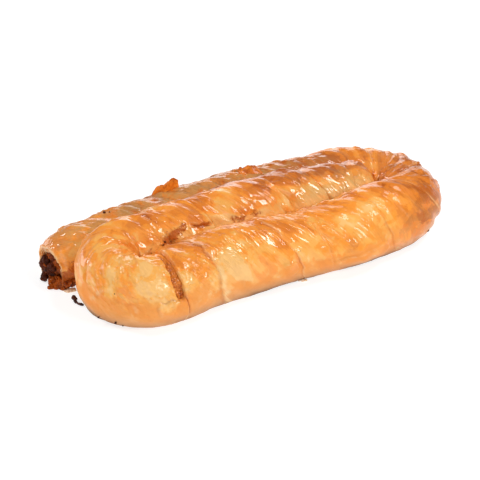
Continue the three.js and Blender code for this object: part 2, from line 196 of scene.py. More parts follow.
def centre(s):
    """Centre line at length s, and the direction of the rope's outer side."""
    at = np.clip(s, 0, TOTAL)
    x, y, tx, ty = (np.interp(at, LINE_S, axis) for axis in (*LINE.T, *AHEAD.T))
    size = np.hypot(tx, ty)
    tx, ty = tx / size, ty / size
    return x + tx * (s - at), y + ty * (s - at), -ty, tx


def girth(s):
    """Half width, height and inner spread of the rope at length s."""
    at = np.clip(s, 0, TOTAL)
    i = np.clip(np.searchsorted(GIRTH_S, at) - 1, 0, len(GIRTH_S) - 2)
    t = smooth((at - GIRTH_S[i]) / (GIRTH_S[i + 1] - GIRTH_S[i]), 0, 1)
    return [mix(GIRTH[i, k], GIRTH[i + 1, k], t) for k in (1, 2, 3)]


def past(s, leg, edge):
    """0 before a leg and 1 from its start on, over a soft edge."""
    return smooth(s, LEG_STARTS[leg] - edge, LEG_STARTS[leg] + edge)


def turning(s, leg):
    """1 inside a turn and 0 on the runs, with a soft edge."""
    return past(s, leg, TURN_EDGE) * (1 - past(s, leg + 1, TURN_EDGE))


def lip_behind(ring):
    """Number of the sheet edge that a ring has passed last."""
    return np.clip(np.searchsorted(LIP_S, ring) - 1, 0, len(LIP_S) - 2)


def lobe_share(ring):
    """How far a ring has come from one sheet edge to the next, from 0 to 1."""
    i = lip_behind(ring)
    return np.clip((ring - LIP_S[i]) / (LIP_S[i + 1] - LIP_S[i]), 0, 1)


def lip_edge(ring):
    """Height of the sheet edge that a ring climbs to."""
    ahead = lip_behind(ring) + 1
    return LIP_RISE[ahead] * np.exp((ring - LIP_S[ahead]) / LIP_TAIL)


def bold(ring, before, after):
    """1 at the sheet edges that show all the way round, falling off over lengths before and after."""
    offs = [ring - length_at(place) for place in BOLD_LIPS]
    return sum(hump(off, np.where(off < 0, before, after)) for off in offs)


def lobes(ring):
    """Swelling of the rope between two sheet edges, and the edges themselves."""
    t = lobe_share(ring)
    swell = mix(LOBE_SWELL, MIDDLE_SWELL, past(ring, 4, 10))
    return swell * (np.sqrt(4 * t * (1 - t)) - 0.85) + lip_edge(ring) - 0.3


def banded(seed, size, ring, over):
    """Noise of a size along the rope and one round it, which runs with the rings."""
    return noise(seed, ROUND * over / size[1], ring / size[0])


def wavering(ring, over):
    """The ring that a point belongs to when the sheet edges waver, except at the seam."""
    waver = sum(reach * banded(seed, size, ring, over) for seed, size, reach in WAVERS)
    return ring + (1 - hump(ring - SEAM, SEAM_NEAR)) * waver


def skew(s, angle):
    """How far a ring leans along the rope at an angle, so that it follows the twist."""
    over, edge = angle - TOP, math.radians(FOOT_FROM) - TOP
    folded = np.where(over <= edge, over, edge * (1 - 2 * (over - edge) / (2 * math.pi - 2 * edge)))
    ends = smooth(s, 0, TWIST_STARTS) * (1 - smooth(s, TOTAL - TWIST_ENDS[0], TOTAL - TWIST_ENDS[1]))
    calm = 1 - (1 - SEAM_TWIST) * hump(s - SEAM, SEAM_CALM)
    return TWIST_ADVANCE * folded * ends * calm


def ring_through(s, angle):
    """The ring that passes through a point, found in a few steps."""
    ring = s
    for _ in range(6):
        ring = s - skew(ring, angle)
    return ring


def spread(patches, s, angle, warp=0.0):
    """Sum of soft patches on the skin, their borders pushed about by a noise."""
    total = 0
    for place, at, long, wide, strength in patches:
        ds = (s - length_at(place)) / (long / 2) + 0.5 * warp
        da = (angle - math.radians(at)) * ROUND / wide - 0.4 * warp
        total = total + strength * np.exp(-ds ** 2 - da ** 2)
    return total


def above_split(angle):
    """1 where the seam is torn open and 0 below, where it is shut."""
    return smooth(np.degrees(angle), SPLIT_FROM - 10, SPLIT_FROM + 8)


def relief(s, angle, ring):
    """Lobes, twist, the gathers inside the turns, and the welts."""
    high = mix(lobes(ring), 0.2, hump(s - SEAM, SEAM_SHUT) * (1 - above_split(angle)))
    phase = 2 * math.pi * (s - 1.9 * TWIST_ADVANCE * (angle - TOP)) / CREASE_SPACING
    high = high + CREASE_DEPTH * (np.cos(phase) + np.cos(0.62 * phase + 1))
    inner = smooth(-np.cos(angle), -0.3, 1) * np.maximum(turning(s, 1), turning(s, 3))
    depth = GATHER_DEPTH * (1 - 0.8 * turning(s, 1))
    high = high - depth * inner * (1 - np.cos(2 * math.pi * s / PLEAT_SPACING))
    return high + spread(WELTS, s, angle)


def skin(s, angle, ring, deeper=0.0, extra=0.0, foot=0.0):
    """Points of the rope's skin. deeper lies below it, extra is added relief, foot a flare at the floor."""
    half, high, inner = girth(s)
    cap = np.sqrt(np.maximum(0, 1 - np.clip((s - (TOTAL - CLOSED_CAP)) / CLOSED_CAP, 0, 1) ** 2))
    rolled = OPEN_ROUNDING * (1 - smooth(s, 0, 2 * OPEN_ROUNDING))
    waist = WAIST * high * mix(CAP_WAIST, 1, cap)
    c, q = np.cos(angle), np.sin(angle)
    fade = mix(UNDER_RELIEF, 1, smooth(q, -0.75, -0.2)) * cap
    out = (relief(s, angle, ring) + extra) * fade - deeper - rolled * smooth(q, -1, 0)
    reach = (half + np.where(c < 0, inner, 0)) * cap + out
    across = reach * np.where(q < 0, np.sign(c) * np.abs(c) ** FOOT_POWER, c)
    wide = np.maximum(across, -mix(3 * half, LEFT_TURN_RADIUS - PINCH_LEFT, turning(s, 3)))
    low = waist - (waist + FOOT_SINK - deeper) * cap * np.abs(q) ** FOOT_POWER
    up = np.where(q < 0, low, waist + ((high - waist) * cap + out) * q)
    flare = foot * np.sign(c) * np.exp(-np.maximum(up, 0) / FLARE_HEIGHT)
    wide = wide + flare * smooth(np.abs(c), 0.3, 0.6)
    x, y, ox, oy = centre(s)
    return np.stack([x + ox * wide, y + oy * wide, np.maximum(up, 0)], -1)


# Noise on a lattice of hashed numbers, the same in every run

def hashed(seed, *cells):
    """An even random number from 0 to 1 for each cell."""
    h = np.uint64(seed * 2654435761 % 2 ** 32)
    for cell, odd in zip(cells, (374761393, 668265263, 2246822519)):
        h = h + np.asarray(cell, np.int64).astype(np.uint64) * np.uint64(odd)
        h = (h ^ (h >> np.uint64(15))) * np.uint64(2246822519) & np.uint64(0xFFFFFFFF)
        h = (h ^ (h >> np.uint64(13))) * np.uint64(3266489917) & np.uint64(0xFFFFFFFF)
    return (h ^ (h >> np.uint64(16))).astype(float) / 2 ** 32


def noise(seed, *coordinates):
    """Smooth noise from -1 to 1 in two or three dimensions."""
    floors = [np.floor(c) for c in coordinates]
    parts = [smooth(c - f, 0, 1) for c, f in zip(coordinates, floors)]
    total = 0
    for corner in range(2 ** len(coordinates)):
        steps = [(corner >> k) & 1 for k in range(len(coordinates))]
        weight = 1
        for step, part in zip(steps, parts):
            weight = weight * (part if step else 1 - part)
        total = total + weight * hashed(seed, *[f + step for f, step in zip(floors, steps)])
    return 2 * total - 1


def fractal(seed, *coordinates, octaves=3):
    """Noise with finer and weaker noise on it."""
    weights = [0.5 ** k for k in range(octaves)]
    layers = [noise(seed + k, *[c * 2 ** k for c in coordinates]) for k in range(octaves)]
    return sum(layer * weight for layer, weight in zip(layers, weights)) / sum(weights)


def cells(seed, u, v):
    """Distance to the nearest of one scattered spot in each cell, and that spot's own number."""
    best, own = np.full(np.shape(u), 9.0), np.zeros(np.shape(u))
    for i in (-1, 0, 1):
        for j in (-1, 0, 1):
            cu, cv = np.floor(u) + i, np.floor(v) + j
            spot = np.hypot(cu + hashed(seed, cu, cv) - u, cv + hashed(seed + 1, cu, cv) - v)
            own = np.where(spot < best, hashed(seed + 2, cu, cv), own)
            best = np.minimum(best, spot)
    return best, own


# The skin's fine relief: sheet folds, wrinkles, lumps, blisters and pleats

WRINKLE_LEAN = 15.0  # mm that the wrinkles lean along the rope for each radian, on the runs
FOLD_SHIFT = (0.15, 0.0, -0.35, -0.2, 0.4)  # angle from the top where each leg's folds are centred
FOLD_COUNT = 140
FOLD_NEAR = 24
TURN_CALM = 0.75  # share of the pleats and folds that is missing in the right turn
LIP_CURL = 1.6  # mm past a sheet edge over which its curled rim falls
# sizes of the patterns in the skin, in mm along the rope and round it
WARP = (11, 11)
WRINKLES = (1.7, 8)
STRANDS = (2.7, 15)
RIDGES = (5, 22)
CRINKLES = (15, 13)
LUMPS = (12, 10)
BLISTERS = (7, 7)
BUBBLES = (2.4, 2.4)
PLEATS = (8, 40)
TOAST_WARP = (16, 12)
TOAST_STREAKS = (5, 26)
TOAST_MOTTLE = (7, 6)
LIP_FADE = (25, 9)
LIP_SHOWN = (25, 7)
# Where the visible skin stands out or in from the solid model: place, angle, length, width, height.
SWELLS = [
    (1.76, 25, 70, 44, 1.7), (2.7, -12, 76, 22, -1.0), (2.17, -10, 40, 18, 1.2), (2.14, -22, 44, 15, 4.6),
    (3.4, -2, 40, 16, -1.6), (3.3, -12, 50, 18, -1.6), (3.0, -20, 50, 12, 1.6), (1.98, -6, 26, 20, -1.2),
    (4.22, 120, 15, 22, 1.1), (4.45, 108, 28, 30, 0.8), (4.62, 110, 16, 24, 0.8), (4.32, 130, 8, 20, -1.0),
    (4.565, 138, 9, 22, -1.3), (4.78, 125, 9, 26, -0.6), (0.33, 90, 20, 26, 0.7), (0.0, 75, 24, 22, 1.8),
    (0.62, 90, 22, 24, 0.5), (2.1, -5, 24, 5, 1.0), (2.2, -11, 22, 5, 0.9), (2.49, -1, 8, 5, 0.5),
    (2.588, 40, 21, 10, -0.95), (2.77, 42, 18, 9, -0.5),
]
# Where the top sheet has crinkled most, and where it has small bubbles: place, angle, length, width, share.
CRINKLED = [
    (2.72, 64, 60, 24, 0.8), (2.45, 75, 70, 20, 0.6), (2.2, 66, 60, 18, 0.2), (2.2, 40, 60, 20, -0.4),
    (2.8, 55, 26, 20, 0.5), (2.55, 55, 30, 16, 0.3), (2.88, 85, 26, 20, 0.6), (3.28, 30, 14, 10, 0.5),
    (3.5, 70, 60, 30, 0.4), (4.12, 120, 22, 24, 0.5), (4.32, 130, 36, 24, 0.5), (4.6, 135, 30, 24, 0.7),
    (4.8, 110, 30, 24, 0.4), (1.5, 100, 80, 36, 0.5), (1.75, 60, 40, 24, 0.5), (0.05, 60, 30, 30, 0.1),
    (0.1, 80, 40, 20, -0.3), (0.25, 100, 60, 24, 0.4), (0.7, 95, 120, 26, 0.3), (0.35, 85, 110, 24, 0.3),
    (3.2, 50, 70, 24, -0.6), (4.24, 125, 22, 16, 0.5), (4.45, 125, 26, 16, 0.4), (4.62, 130, 16, 20, 0.4),
    (1.85, 40, 50, 24, -0.2), (2.9, 30, 20, 20, -0.3), (2.65, 25, 20, 14, -0.4), (2.2, 10, 60, 16, -0.3),
    (2.585, 40, 22, 13, -0.8),
]
BUBBLED = [
    (2.86, 42, 22, 14, 0.9), (3.12, 36, 44, 17, 1.0), (3.3, 40, 30, 16, 0.45), (2.7, 45, 26, 14, 0.5),
    (0.06, 50, 22, 14, 0.6),
]
# Torn edges and creases that stand out: places and angles along each, height, and how far it falls away.
# A fall below 0 lies on the other side. The first list runs round the rope and the second along it.
CREASES_ROUND = [
    ([(2.951, 9), (2.944, -5), (2.941, -26)], 1.0, 5), ([(3.059, 10), (3.05, -14)], 0.65, -4),
    ([(3.158, 8), (3.171, -24)], 0.5, 1.2), ([(3.328, 26), (3.41, -7)], 0.35, 1.2),
    ([(2.064, 1), (2.045, -13), (2.051, -28)], 0.8, 4), ([(2.464, 4), (2.452, -9), (2.47, -22)], 0.5, 3),
    ([(1.4, 135), (1.46, 110)], 0.9, 4), ([(1.485, 134), (1.506, 101), (1.603, 83), (1.743, 44)], 1.2, 5),
    ([(3.08, 84), (3.2, 108)], 0.7, 2.5), ([(2.6, 88), (2.577, 67), (2.52, 45)], 0.55, 3),
    ([(2.33, 88), (2.29, 50), (2.23, 10)], 0.5, 4), ([(2.7, 95), (2.655, 60), (2.62, 35)], 0.6, 3),
    ([(3.46, 96), (3.4, 50)], 0.4, 3),
    ([(2.375, 112), (2.375, 76), (2.357, 52), (2.324, 20), (2.301, -19)], 0.6, 5),
]
CREASES_ALONG = [
    ([(2.948, 8), (2.972, 5), (3.0, 9), (3.03, 6), (3.055, 10)], 0.85, -5),
    ([(2.05, 2), (2.103, -2), (2.175, -5), (2.246, -6), (2.3, -14)], 0.6, -6),
    ([(2.05, -30), (2.093, -42), (2.19, -38)], 0.5, 4), ([(2.464, 4), (2.49, 7), (2.52, 2)], 0.5, -3),
    ([(4.2, 133), (4.235, 139), (4.275, 143)], 1.1, -4), ([(4.36, 146), (4.42, 149)], 0.6, -3),
]
# Where the crisp foot spreads on the floor: place, length, extra reach.
FLARES = [(3.52, 26, 4.5), (2.94, 44, 3.0), (2.12, 50, 3.5), (2.62, 30, 2.5), (0.02, 14, 0.8)]
FLARE_MOST = 6
FLARE_RAG = 3.0  # mm along the rope


def make_folds(count, seed):
    """Loose sheet edges between the main ones: ring, lean, first and last angle, height, tail."""
    random = np.random.default_rng(seed)
    folds = []
    for k in range(count):
        at = TOTAL * (k + random.uniform(0, 1)) / count
        leg = int(np.searchsorted(LEG_STARTS, at, side="right")) - 1
        middle = FOLD_SHIFT[leg] + random.uniform(-0.45, 0.45)
        reach = random.uniform(0.3, 0.95)
        lean = (0.5 if leg in (1, 3) else 1) * random.uniform(0, 11)
        rise, tail = random.uniform(0.15, 0.55), random.uniform(1.4, 4.2)
        folds.append((at, lean, middle - reach, middle + reach, rise, tail))
    return folds


FOLDS = make_folds(FOLD_COUNT, 11)


def fold_relief(ring, over):
    """Relief of the loose sheet edges, and a mask of their pale rims, partly painted highlight."""
    high, edge = np.zeros(ring.shape), np.zeros(ring.shape)
    for at, lean, first, last, rise, tail in FOLDS:
        rows = np.where(np.abs(ring[:, 0] - at) < FOLD_NEAR)[0]
        if not len(rows):
            continue
        r, f = ring[rows], over[rows]
        d = r - at - lean * (f - (first + last) / 2) + 0.6 * np.sin(4 * f + at)
        window = smooth(f, first, first + 0.3) * (1 - smooth(f, last - 0.4, last))
        shape = np.where(d < 0, np.exp(np.minimum(d, 0) / tail), 1 - smooth(d, 0, 0.6))
        high[rows] = np.maximum(high[rows], rise * shape * window)
        # Pale rim along each loose edge, partly painted highlight.
        edge[rows] = np.maximum(edge[rows], hump(d + 0.2, 0.5) * window)
    return high, edge


def crease_relief(s, angle):
    """Relief of the torn edges and creases, a mask of their pale edges, partly painted highlight, and one
    of painted shade in the cracks beside them.
    """
    degrees = np.degrees(angle)
    high, edge, crack = (np.zeros(s.shape) for _ in range(3))
    kinds = [(True, crease) for crease in CREASES_ROUND] + [(False, crease) for crease in CREASES_ALONG]
    for is_round, (points, rise, fall) in kinds:
        course = np.array([(length_at(place), at) for place, at in points])
        if not is_round:
            course = course[:, ::-1]
        across_at, here_at = course[np.argsort(course[:, 1])].T
        here, across = (degrees, s) if is_round else (s, degrees)
        off = across - np.interp(here, here_at, across_at)
        off = np.sign(fall) * (off if is_round else np.radians(off) * ROUND)
        off = off + 0.3 * noise(61, s / 2.5, degrees / 8)
        low, top = here_at[0], here_at[-1]
        soft = 0.15 * (top - low)
        window = smooth(here, low - soft, low + soft) * (1 - smooth(here, top - soft, top + soft))
        shape = np.where(off > 0, np.exp(-np.maximum(off, 0) / abs(fall)), 1 - smooth(-off, 0, 0.7))
        gap = hump(off + 0.8, 0.45) * window
        high = high + rise * (shape * window - 0.6 * gap)
        sharp = 2 if abs(fall) < 2 else 1
        # Pale edge along the crease, partly painted highlight.
        edge = np.maximum(edge, sharp * hump(off - 0.1, 0.45 * sharp) * window)
        # Painted shade in the gap beside each higher crease.
        crack = np.maximum(crack, 0.65 * smooth(rise, 0.4, 1.2) * gap)
    return high, edge, crack


def leaning(s, over):
    """Length along the rope at which a wrinkle through a point crosses its top."""
    return s - WRINKLE_LEAN * over * (1 - 0.7 * np.maximum(turning(s, 1), turning(s, 3)))


def in_units(size, along, over, shift=0.0):
    """A point's coordinates on the skin in units of a pattern's size."""
    return along / size[0] + shift, ROUND * over / size[1]


def fine_relief(sizes, s, angle, ring):
    """Relief finer than the solid model's, and masks of pale sheet edges with painted highlight, crinkled
    skin, and painted shade in the cracks.
    """
    over = angle - TOP
    up = smooth(np.sin(angle), -0.1, 0.85)
    bend = np.maximum(turning(s, 1), turning(s, 3))
    calm = 1 - TURN_CALM * turning(s, 1)
    warp = 0.5 * noise(16, *in_units(WARP, ring, over))
    crinkle = 0.4 + 0.45 * noise(19, *in_units(CRINKLES, ring, over)) + spread(CRINKLED, s, angle, warp)
    crinkle = np.clip(crinkle, 0.15, 1.5) * mix(0.25, 1, up)
    along = leaning(s, over)
    wrinkles = fractal(3, *in_units(WRINKLES, along, over, warp), octaves=2)
    strands = (1 - np.abs(noise(17, *in_units(STRANDS, along, over, warp)))) ** 4 - 0.3
    ridges = (1 - np.abs(noise(18, *in_units(RIDGES, along, over, warp)))) ** 5 - 0.2
    high = sizes.wrinkle_depth / MM * wrinkles * crinkle
    high = high + sizes.ridge_height / MM * (0.6 * strands + ridges) * crinkle
    high = high + sizes.lump_depth / MM * fractal(41, *in_units(LUMPS, ring, over)) * mix(0.5, 1, up)
    blister, own = cells(57, *in_units(BLISTERS, ring, over, warp))
    blister = np.where(own > 0.55, smooth(0.45 - blister, 0, 0.3), 0) * mix(0.4, 1, up)
    bubble, own = cells(59, *in_units(BUBBLES, ring, over, warp))
    bubbled = spread(BUBBLED, s, angle, warp)
    bubble = smooth(0.62 - bubble, 0, 0.5) * (0.4 + own) * np.clip(bubbled, 0, 1)
    high = high + sizes.blister_height / MM * (blister + bubble)
    pleats = (1 - np.abs(noise(71, *in_units(PLEATS, s, over)))) ** 3 - 0.45
    inner = smooth(-np.cos(angle), -0.5, 0.9) * bend
    high = high + sizes.pleat_depth / MM * pleats * (0.15 * bend + inner) * calm
    folds, edge = fold_relief(ring, over)
    high = high + sizes.fold_height / MM * folds * calm
    torn, torn_edge, crack = crease_relief(s, angle)
    high, edge = high + torn, np.maximum(0.4 * edge, torn_edge)
    fade = smooth(banded(29, LIP_FADE, ring, over), -0.3, 0.5) * (1 - hump(ring - SEAM, SEAM_NEAR))
    fade = fade * (1 - bold(ring, 8, 4) * smooth(np.abs(np.degrees(over)), 10, 50))
    high = high - 0.7 * fade * lip_edge(ring)
    high = high + 0.7 * (1 - fade) * np.exp(-(ring - LIP_S[lip_behind(ring)]) / LIP_CURL)
    high = high + spread(SWELLS, s, angle)
    return high, edge, np.clip(crinkle + bubbled, 0, 1.6), crack


# How far the oven took each part of the crust

# Place, angle, length, width, strength. Above 0 is browner than the rest and below 0 is paler.
TOASTED = [
    (1.62, 80, 60, 40, 0.24), (1.9, 50, 40, 30, 0.04), (4.55, 98, 50, 24, 0.22), (4.36, 100, 26, 20, 0.16),
    (4.84, 96, 44, 24, 0.4), (4.05, 100, 22, 20, 0.15), (0.9, 95, 80, 30, 0.55), (2.55, 75, 30, 16, 0.2),
    (2.25, 45, 60, 24, -0.06), (2.85, 80, 24, 16, 0.05), (2.95, 60, 10, 30, 0.1), (3.4, 20, 60, 20, 0.14),
    (3.28, 30, 26, 12, 0.15), (0.45, 100, 60, 24, 0.25), (4.2, 100, 20, 18, 0.1), (3.75, 70, 40, 30, 0.04),
    (3.5, 50, 60, 20, -0.1), (1.82, 12, 40, 16, 0.12), (1.76, 2, 44, 18, 0.12), (2.22, 6, 34, 8, 0.2),
    (1.78, 35, 40, 20, -0.16), (2.88, 34, 22, 20, 0.04), (2.36, 38, 60, 20, 0.12), (2.58, 50, 20, 14, 0.12),
    (0.714, 92, 18, 7, 0.5), (3.295, 65, 7, 14, -0.26), (3.125, 48, 8, 13, -0.3), (3.037, 52, 6, 8, -0.22),
    (3.21, 55, 6, 14, 0.14), (3.38, 50, 10, 14, 0.18), (2.72, 28, 15, 16, -0.3), (2.45, 45, 30, 16, -0.04),
    (2.6, -6, 26, 14, 0.3), (2.15, 22, 60, 26, -0.22), (2.6, 68, 24, 12, -0.12), (2.25, 60, 50, 16, -0.08),
    # (1.82, -4, ...) browns the right turn's low side as painted shade where the light falls off.
    (4.57, 128, 28, 13, 0.3), (4.46, 114, 24, 14, -0.22), (1.82, -4, 60, 24, 0.36), (1.8, 83, 40, 18, 0.08),
    (4.36, 107, 16, 12, -0.5), (4.37, 131, 34, 12, -0.14), (3.35, 28, 30, 14, 0.1), (1.5, 85, 50, 20, 0.1),
    (2.58, 60, 24, 16, -0.1), (3.14, 70, 30, 24, -0.1), (2.9, 0, 24, 16, -0.14), (4.15, 130, 60, 16, -0.1),
    (4.75, 150, 90, 18, -0.3), (0.15, 60, 50, 24, 0.05), (3.2, 55, 80, 30, -0.05), (0.4, 88, 190, 24, 0.42),
    (2.1, 30, 30, 20, -0.06),
]
# Where the dough is damp and greasy, and two patches that are painted shade and sheen.
DAMP = [
    (4.84, 160, 80, 20, 0.95), (4.2, 165, 70, 14, 0.4), (0.3, 134, 110, 26, 0.6), (0.75, 140, 90, 24, 0.5),
    (3.95, 150, 24, 22, 0.25), (2.72, -24, 110, 11, 0.5), (2.93, -6, 20, 12, 0.1), (2.2, -8, 70, 16, 0.3),
    # (1.82, -8, ...) darkens the right turn's low side as painted shade, and (0.4, 100, ...) greys and
    # darkens the back run as painted shade and sheen.
    (1.82, -8, 60, 20, 0.4), (0.08, 150, 30, 30, 0.4), (1.4, 165, 40, 22, 0.5), (0.4, 100, 180, 40, 0.35),
]
# Where the glaze has dried dull.
DRY = [(1.85, 45, 40, 26, 0.8), (2.2, 40, 56, 22, 0.75), (0.08, 85, 30, 26, 0.2), (1.6, 5, 90, 26, 0.7)]
# Where juice from the filling has dried to caramel.
CARAMEL = [
    (4.1, 150, 11, 4, 0.9), (4.14, 140, 9, 3, 0.9), (4.175, 133, 6, 2, 0.7), (4.24, 141, 16, 1.4, 1.0),
    (4.38, 147, 12, 2.4, 0.8), (4.45, 147, 8, 2, 0.7), (0.025, 197, 16, 10, 1.6), (2.93, 134, 14, 3, 0.4),
    (4.04, 154, 6, 4, 0.4), (3.0, 2, 2.4, 2, 0.35), (1.3, 160, 20, 4, 0.5),
]
# Place, and height up to which the outer side is plain and peach.
LOW_LINE = np.array([
    (0, 8), (1.4, 8), (1.7, 5), (1.9, 7), (2.05, 17), (2.25, 15), (2.4, 14), (2.55, 18), (2.65, 16),
    (2.78, 15), (2.84, 20), (2.95, 22), (3.14, 21), (3.3, 26), (3.42, 26), (3.55, 20), (3.7, 13), (5, 8),
])

LOW_SOFT = 18.0  # mm over which the plain part fades out
# Height and patch length of the browned foot edge, which is also darkened as painted shade.
CRISP_AND_SHADE_HEIGHT = 4.5
CRISP_AND_SHADE_LENGTH = 16.0


def scallops(s, angle, ring, warp):
    """1 where the top of a lobe is browned, down to a rounded border, from the front run on."""
    t = lobe_share(ring)
    bump = 4 * t * (1 - t) - 0.6
    degrees = np.degrees(angle) + 10 * warp
    middle = past(s, 4, 15)
    border = 113 + 24 * bump + 22 * (1 - smooth(s, length_at(4.48), length_at(4.56)))
    inner = 1 - smooth(degrees, border - 4, border + 8)
    front = smooth(degrees, 60 - 16 * bump, 68 - 16 * bump) * smooth(s, LEG_STARTS[2] - 20, LEG_STARTS[2])
    return middle * inner, (1 - middle) * front * (1 - turning(s, 3))


def baked(s, angle, ring, high):
    """Masks of toasting and damp dough, and the noises that they were made with."""
    over = angle - TOP
    warp = fractal(101, *in_units(TOAST_WARP, ring, over))
    streak = fractal(113, *in_units(TOAST_STREAKS, leaning(s, over), over))
    mottle = fractal(127, *in_units(TOAST_MOTTLE, ring, over))
    toast = 0.36 + 0.12 * smooth(np.sin(angle), 0.45, 1) + spread(TOASTED, s, angle, warp)
    middle, front = scallops(s, angle, ring, warp)
    middle = middle - 0.35 * smooth(s, LEG_STARTS[4], LEG_STARTS[4] + 15)
    toast = toast + (0.12 + 0.3 * smooth(s, length_at(4.2), length_at(4.3))) * middle + 0.1 * front
    toast = toast + 0.2 * streak + 0.2 * mottle + 0.12 * np.clip(high, -1, 1.5)
    damp = np.clip(spread(DAMP, s, angle, warp), 0, 1)
    return np.clip(toast - 0.2 * damp, 0, 1), damp, warp, mottle


def mark_lips(ring, angle, edge, crack, toast):
    """The masks again, with the sheet edges that climb round the rope added: their pale rims with painted
    highlight, and painted shade in the step just past them.
    """
    last, following = LIP_S[lip_behind(ring)], LIP_S[lip_behind(ring) + 1]
    level = np.abs(np.degrees(angle) - 90)
    shown = smooth(banded(31, LIP_SHOWN, ring, angle - TOP), -0.3, 0.4)
    # Pale rim with painted highlight just before each sheet edge.
    edge = np.maximum(edge * 0.7, hump(following - ring - 0.5, 0.6) * shown)
    # Painted shade in the step just past each high sheet edge, and past the bold ones.
    lip_shade = 0.25 * hump(ring - last - 0.9, 0.9) * shown * (LIP_RISE[lip_behind(ring)] > 1.4)
    crack = np.maximum(crack, lip_shade * smooth(np.sin(angle), -0.2, 0.5))
    bold_lip_shade = 0.26 * smooth(level, 35, 85) * bold(ring - 0.7, 0.8, 0.8)
    crack = np.maximum(crack, bold_lip_shade * (ring >= last + 0.05))
    # A wider pale rim with painted highlight before the bold sheet edges.
    pale = mix(0.1, 1.2, smooth(level, 20, 65)) * bold(ring + 1.1, 1.3, 1.2)
    edge = np.maximum(edge, pale * (ring < following - 0.05))
    # toast is raised just past each sheet edge, as painted shade in the step.
    return edge, crack, np.clip(toast + 0.18 * hump(ring - last - 0.3, 0.4) * shown, 0, 1)


# Meshes

RING_STEPS = (1.8, 1.8, 1.25, 1.0, 1.0, 1.0)  # times the ring step, at the start of each leg and at the end
LIP_CLOSE = 1.2
LIP_STEP = 0.4
FINE_STEP = 0.05
UNDER_SIDES = 9
SKIN_SIDES = 132
SECTION = np.radians(np.concatenate([
    np.linspace(-90, -25, UNDER_SIDES, endpoint=False),
    np.linspace(-25, FOOT_FROM, SKIN_SIDES, endpoint=False),
    np.linspace(FOOT_FROM, 270, UNDER_SIDES, endpoint=False),
]))
MASKS = ("toast", "damp", "edge", "low", "crinkle", "caramel", "crisp", "crack", "dry")


def add_mesh(name, points, faces, attributes=None):
    """An object of points in millimetres, with values at its points for its material."""
    mesh = bpy.data.meshes.new(name)
    mesh.from_pydata((np.asarray(points) * MM).tolist(), [], faces)
    mesh.validate()
    mesh.polygons.foreach_set("use_smooth", [True] * len(mesh.polygons))
    for key, values in (attributes or {}).items():
        values = np.asarray(values, np.float32)
        kind, field = ("FLOAT_VECTOR", "vector") if values.ndim == 2 else ("FLOAT", "value")
        mesh.attributes.new(key, kind, "POINT").data.foreach_set(field, values.ravel())
    mesh.update()
    made = bpy.data.objects.new(name, mesh)
    bpy.context.scene.collection.objects.link(made)
    return made


def place_piece(piece, material, slot, *nodes):
    """Gives a piece its material and its body, and hides the solid model's parts that it stands for. The
    slot is not used.
    """
    piece.data.materials.append(material)
    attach(piece, "root")
    if nodes:
        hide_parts(*nodes)


def tube(rings):
    """Points and faces of a closed skin over rings of points, with a fan over each end."""
    count, sides = rings.shape[:2]
    i, j = np.meshgrid(np.arange(count - 1), np.arange(sides), indexing="ij")
    k = (j + 1) % sides
    quads = np.stack([i * sides + j, (i + 1) * sides + j, (i + 1) * sides + k, i * sides + k], -1)
    points = np.vstack([rings.reshape(-1, 3), rings[0].mean(0), rings[-1].mean(0)])
    first, last = count * sides, (count - 1) * sides
    fans = [(first, j, (j + 1) % sides) for j in range(sides)]
    fans += [(first + 1, last + (j + 1) % sides, last + j) for j in range(sides)]
    return points, quads.reshape(-1, 4).tolist() + fans


def grains(seed, spots, rough=0.25, detail=2, squash=1.0):
    """Points and faces of many small rough balls, from a centre and a radius for each."""
    ball = bmesh.new()
    bmesh.ops.create_icosphere(ball, subdivisions=detail, radius=1)
    shape = np.array([v.co for v in ball.verts])
    faces = np.array([[v.index for v in f.verts] for f in ball.faces])
    ball.free()
    points, triangles = [], []
    for k, (*middle, radius) in enumerate(spots):
        swell = 1 + rough * fractal(seed + k, *(shape * 1.6 + 5 * k).T) * 2
        stretch = 1 + 0.25 * np.array([hashed(seed, k, axis) for axis in range(3)])
        moved = shape * swell[:, None] * stretch * radius * np.array([1, 1, squash]) + middle
        moved[:, 2] = np.maximum(moved[:, 2], 0.02)
        triangles.append(faces + len(shape) * k)
        points.append(moved)
    return np.vstack(points), np.vstack(triangles).tolist()


def ring_steps(first, last, step):
    """Lengths of the rings: even steps, closer together at the sheet edges."""
    fine = np.arange(first, last, FINE_STEP)
    near = np.min(np.abs(fine[:, None] - LIP_S[None, :]), axis=1)
    coarse = np.interp(fine, LEG_STARTS, RING_STEPS)
    total = np.cumsum(1 / (np.where(near < LIP_CLOSE, LIP_STEP, 1) * coarse * step)) * FINE_STEP
    count = int(round(total[-1]))
    return np.interp(np.linspace(total[0], total[-1], count + 1), total, fine)


def split_half(angle):
    """Half the width of the split beside the left turn, at an angle."""
    share = np.clip((np.degrees(angle) - SPLIT_FROM) / (SPLIT_TO - SPLIT_FROM), 0, 1)
    half = SPLIT_WIDTH / 2 * np.sin(math.pi * share ** 0.45) ** 0.8
    return half * (1 + 0.12 * noise(7, np.degrees(angle) / 5, 0 * angle))


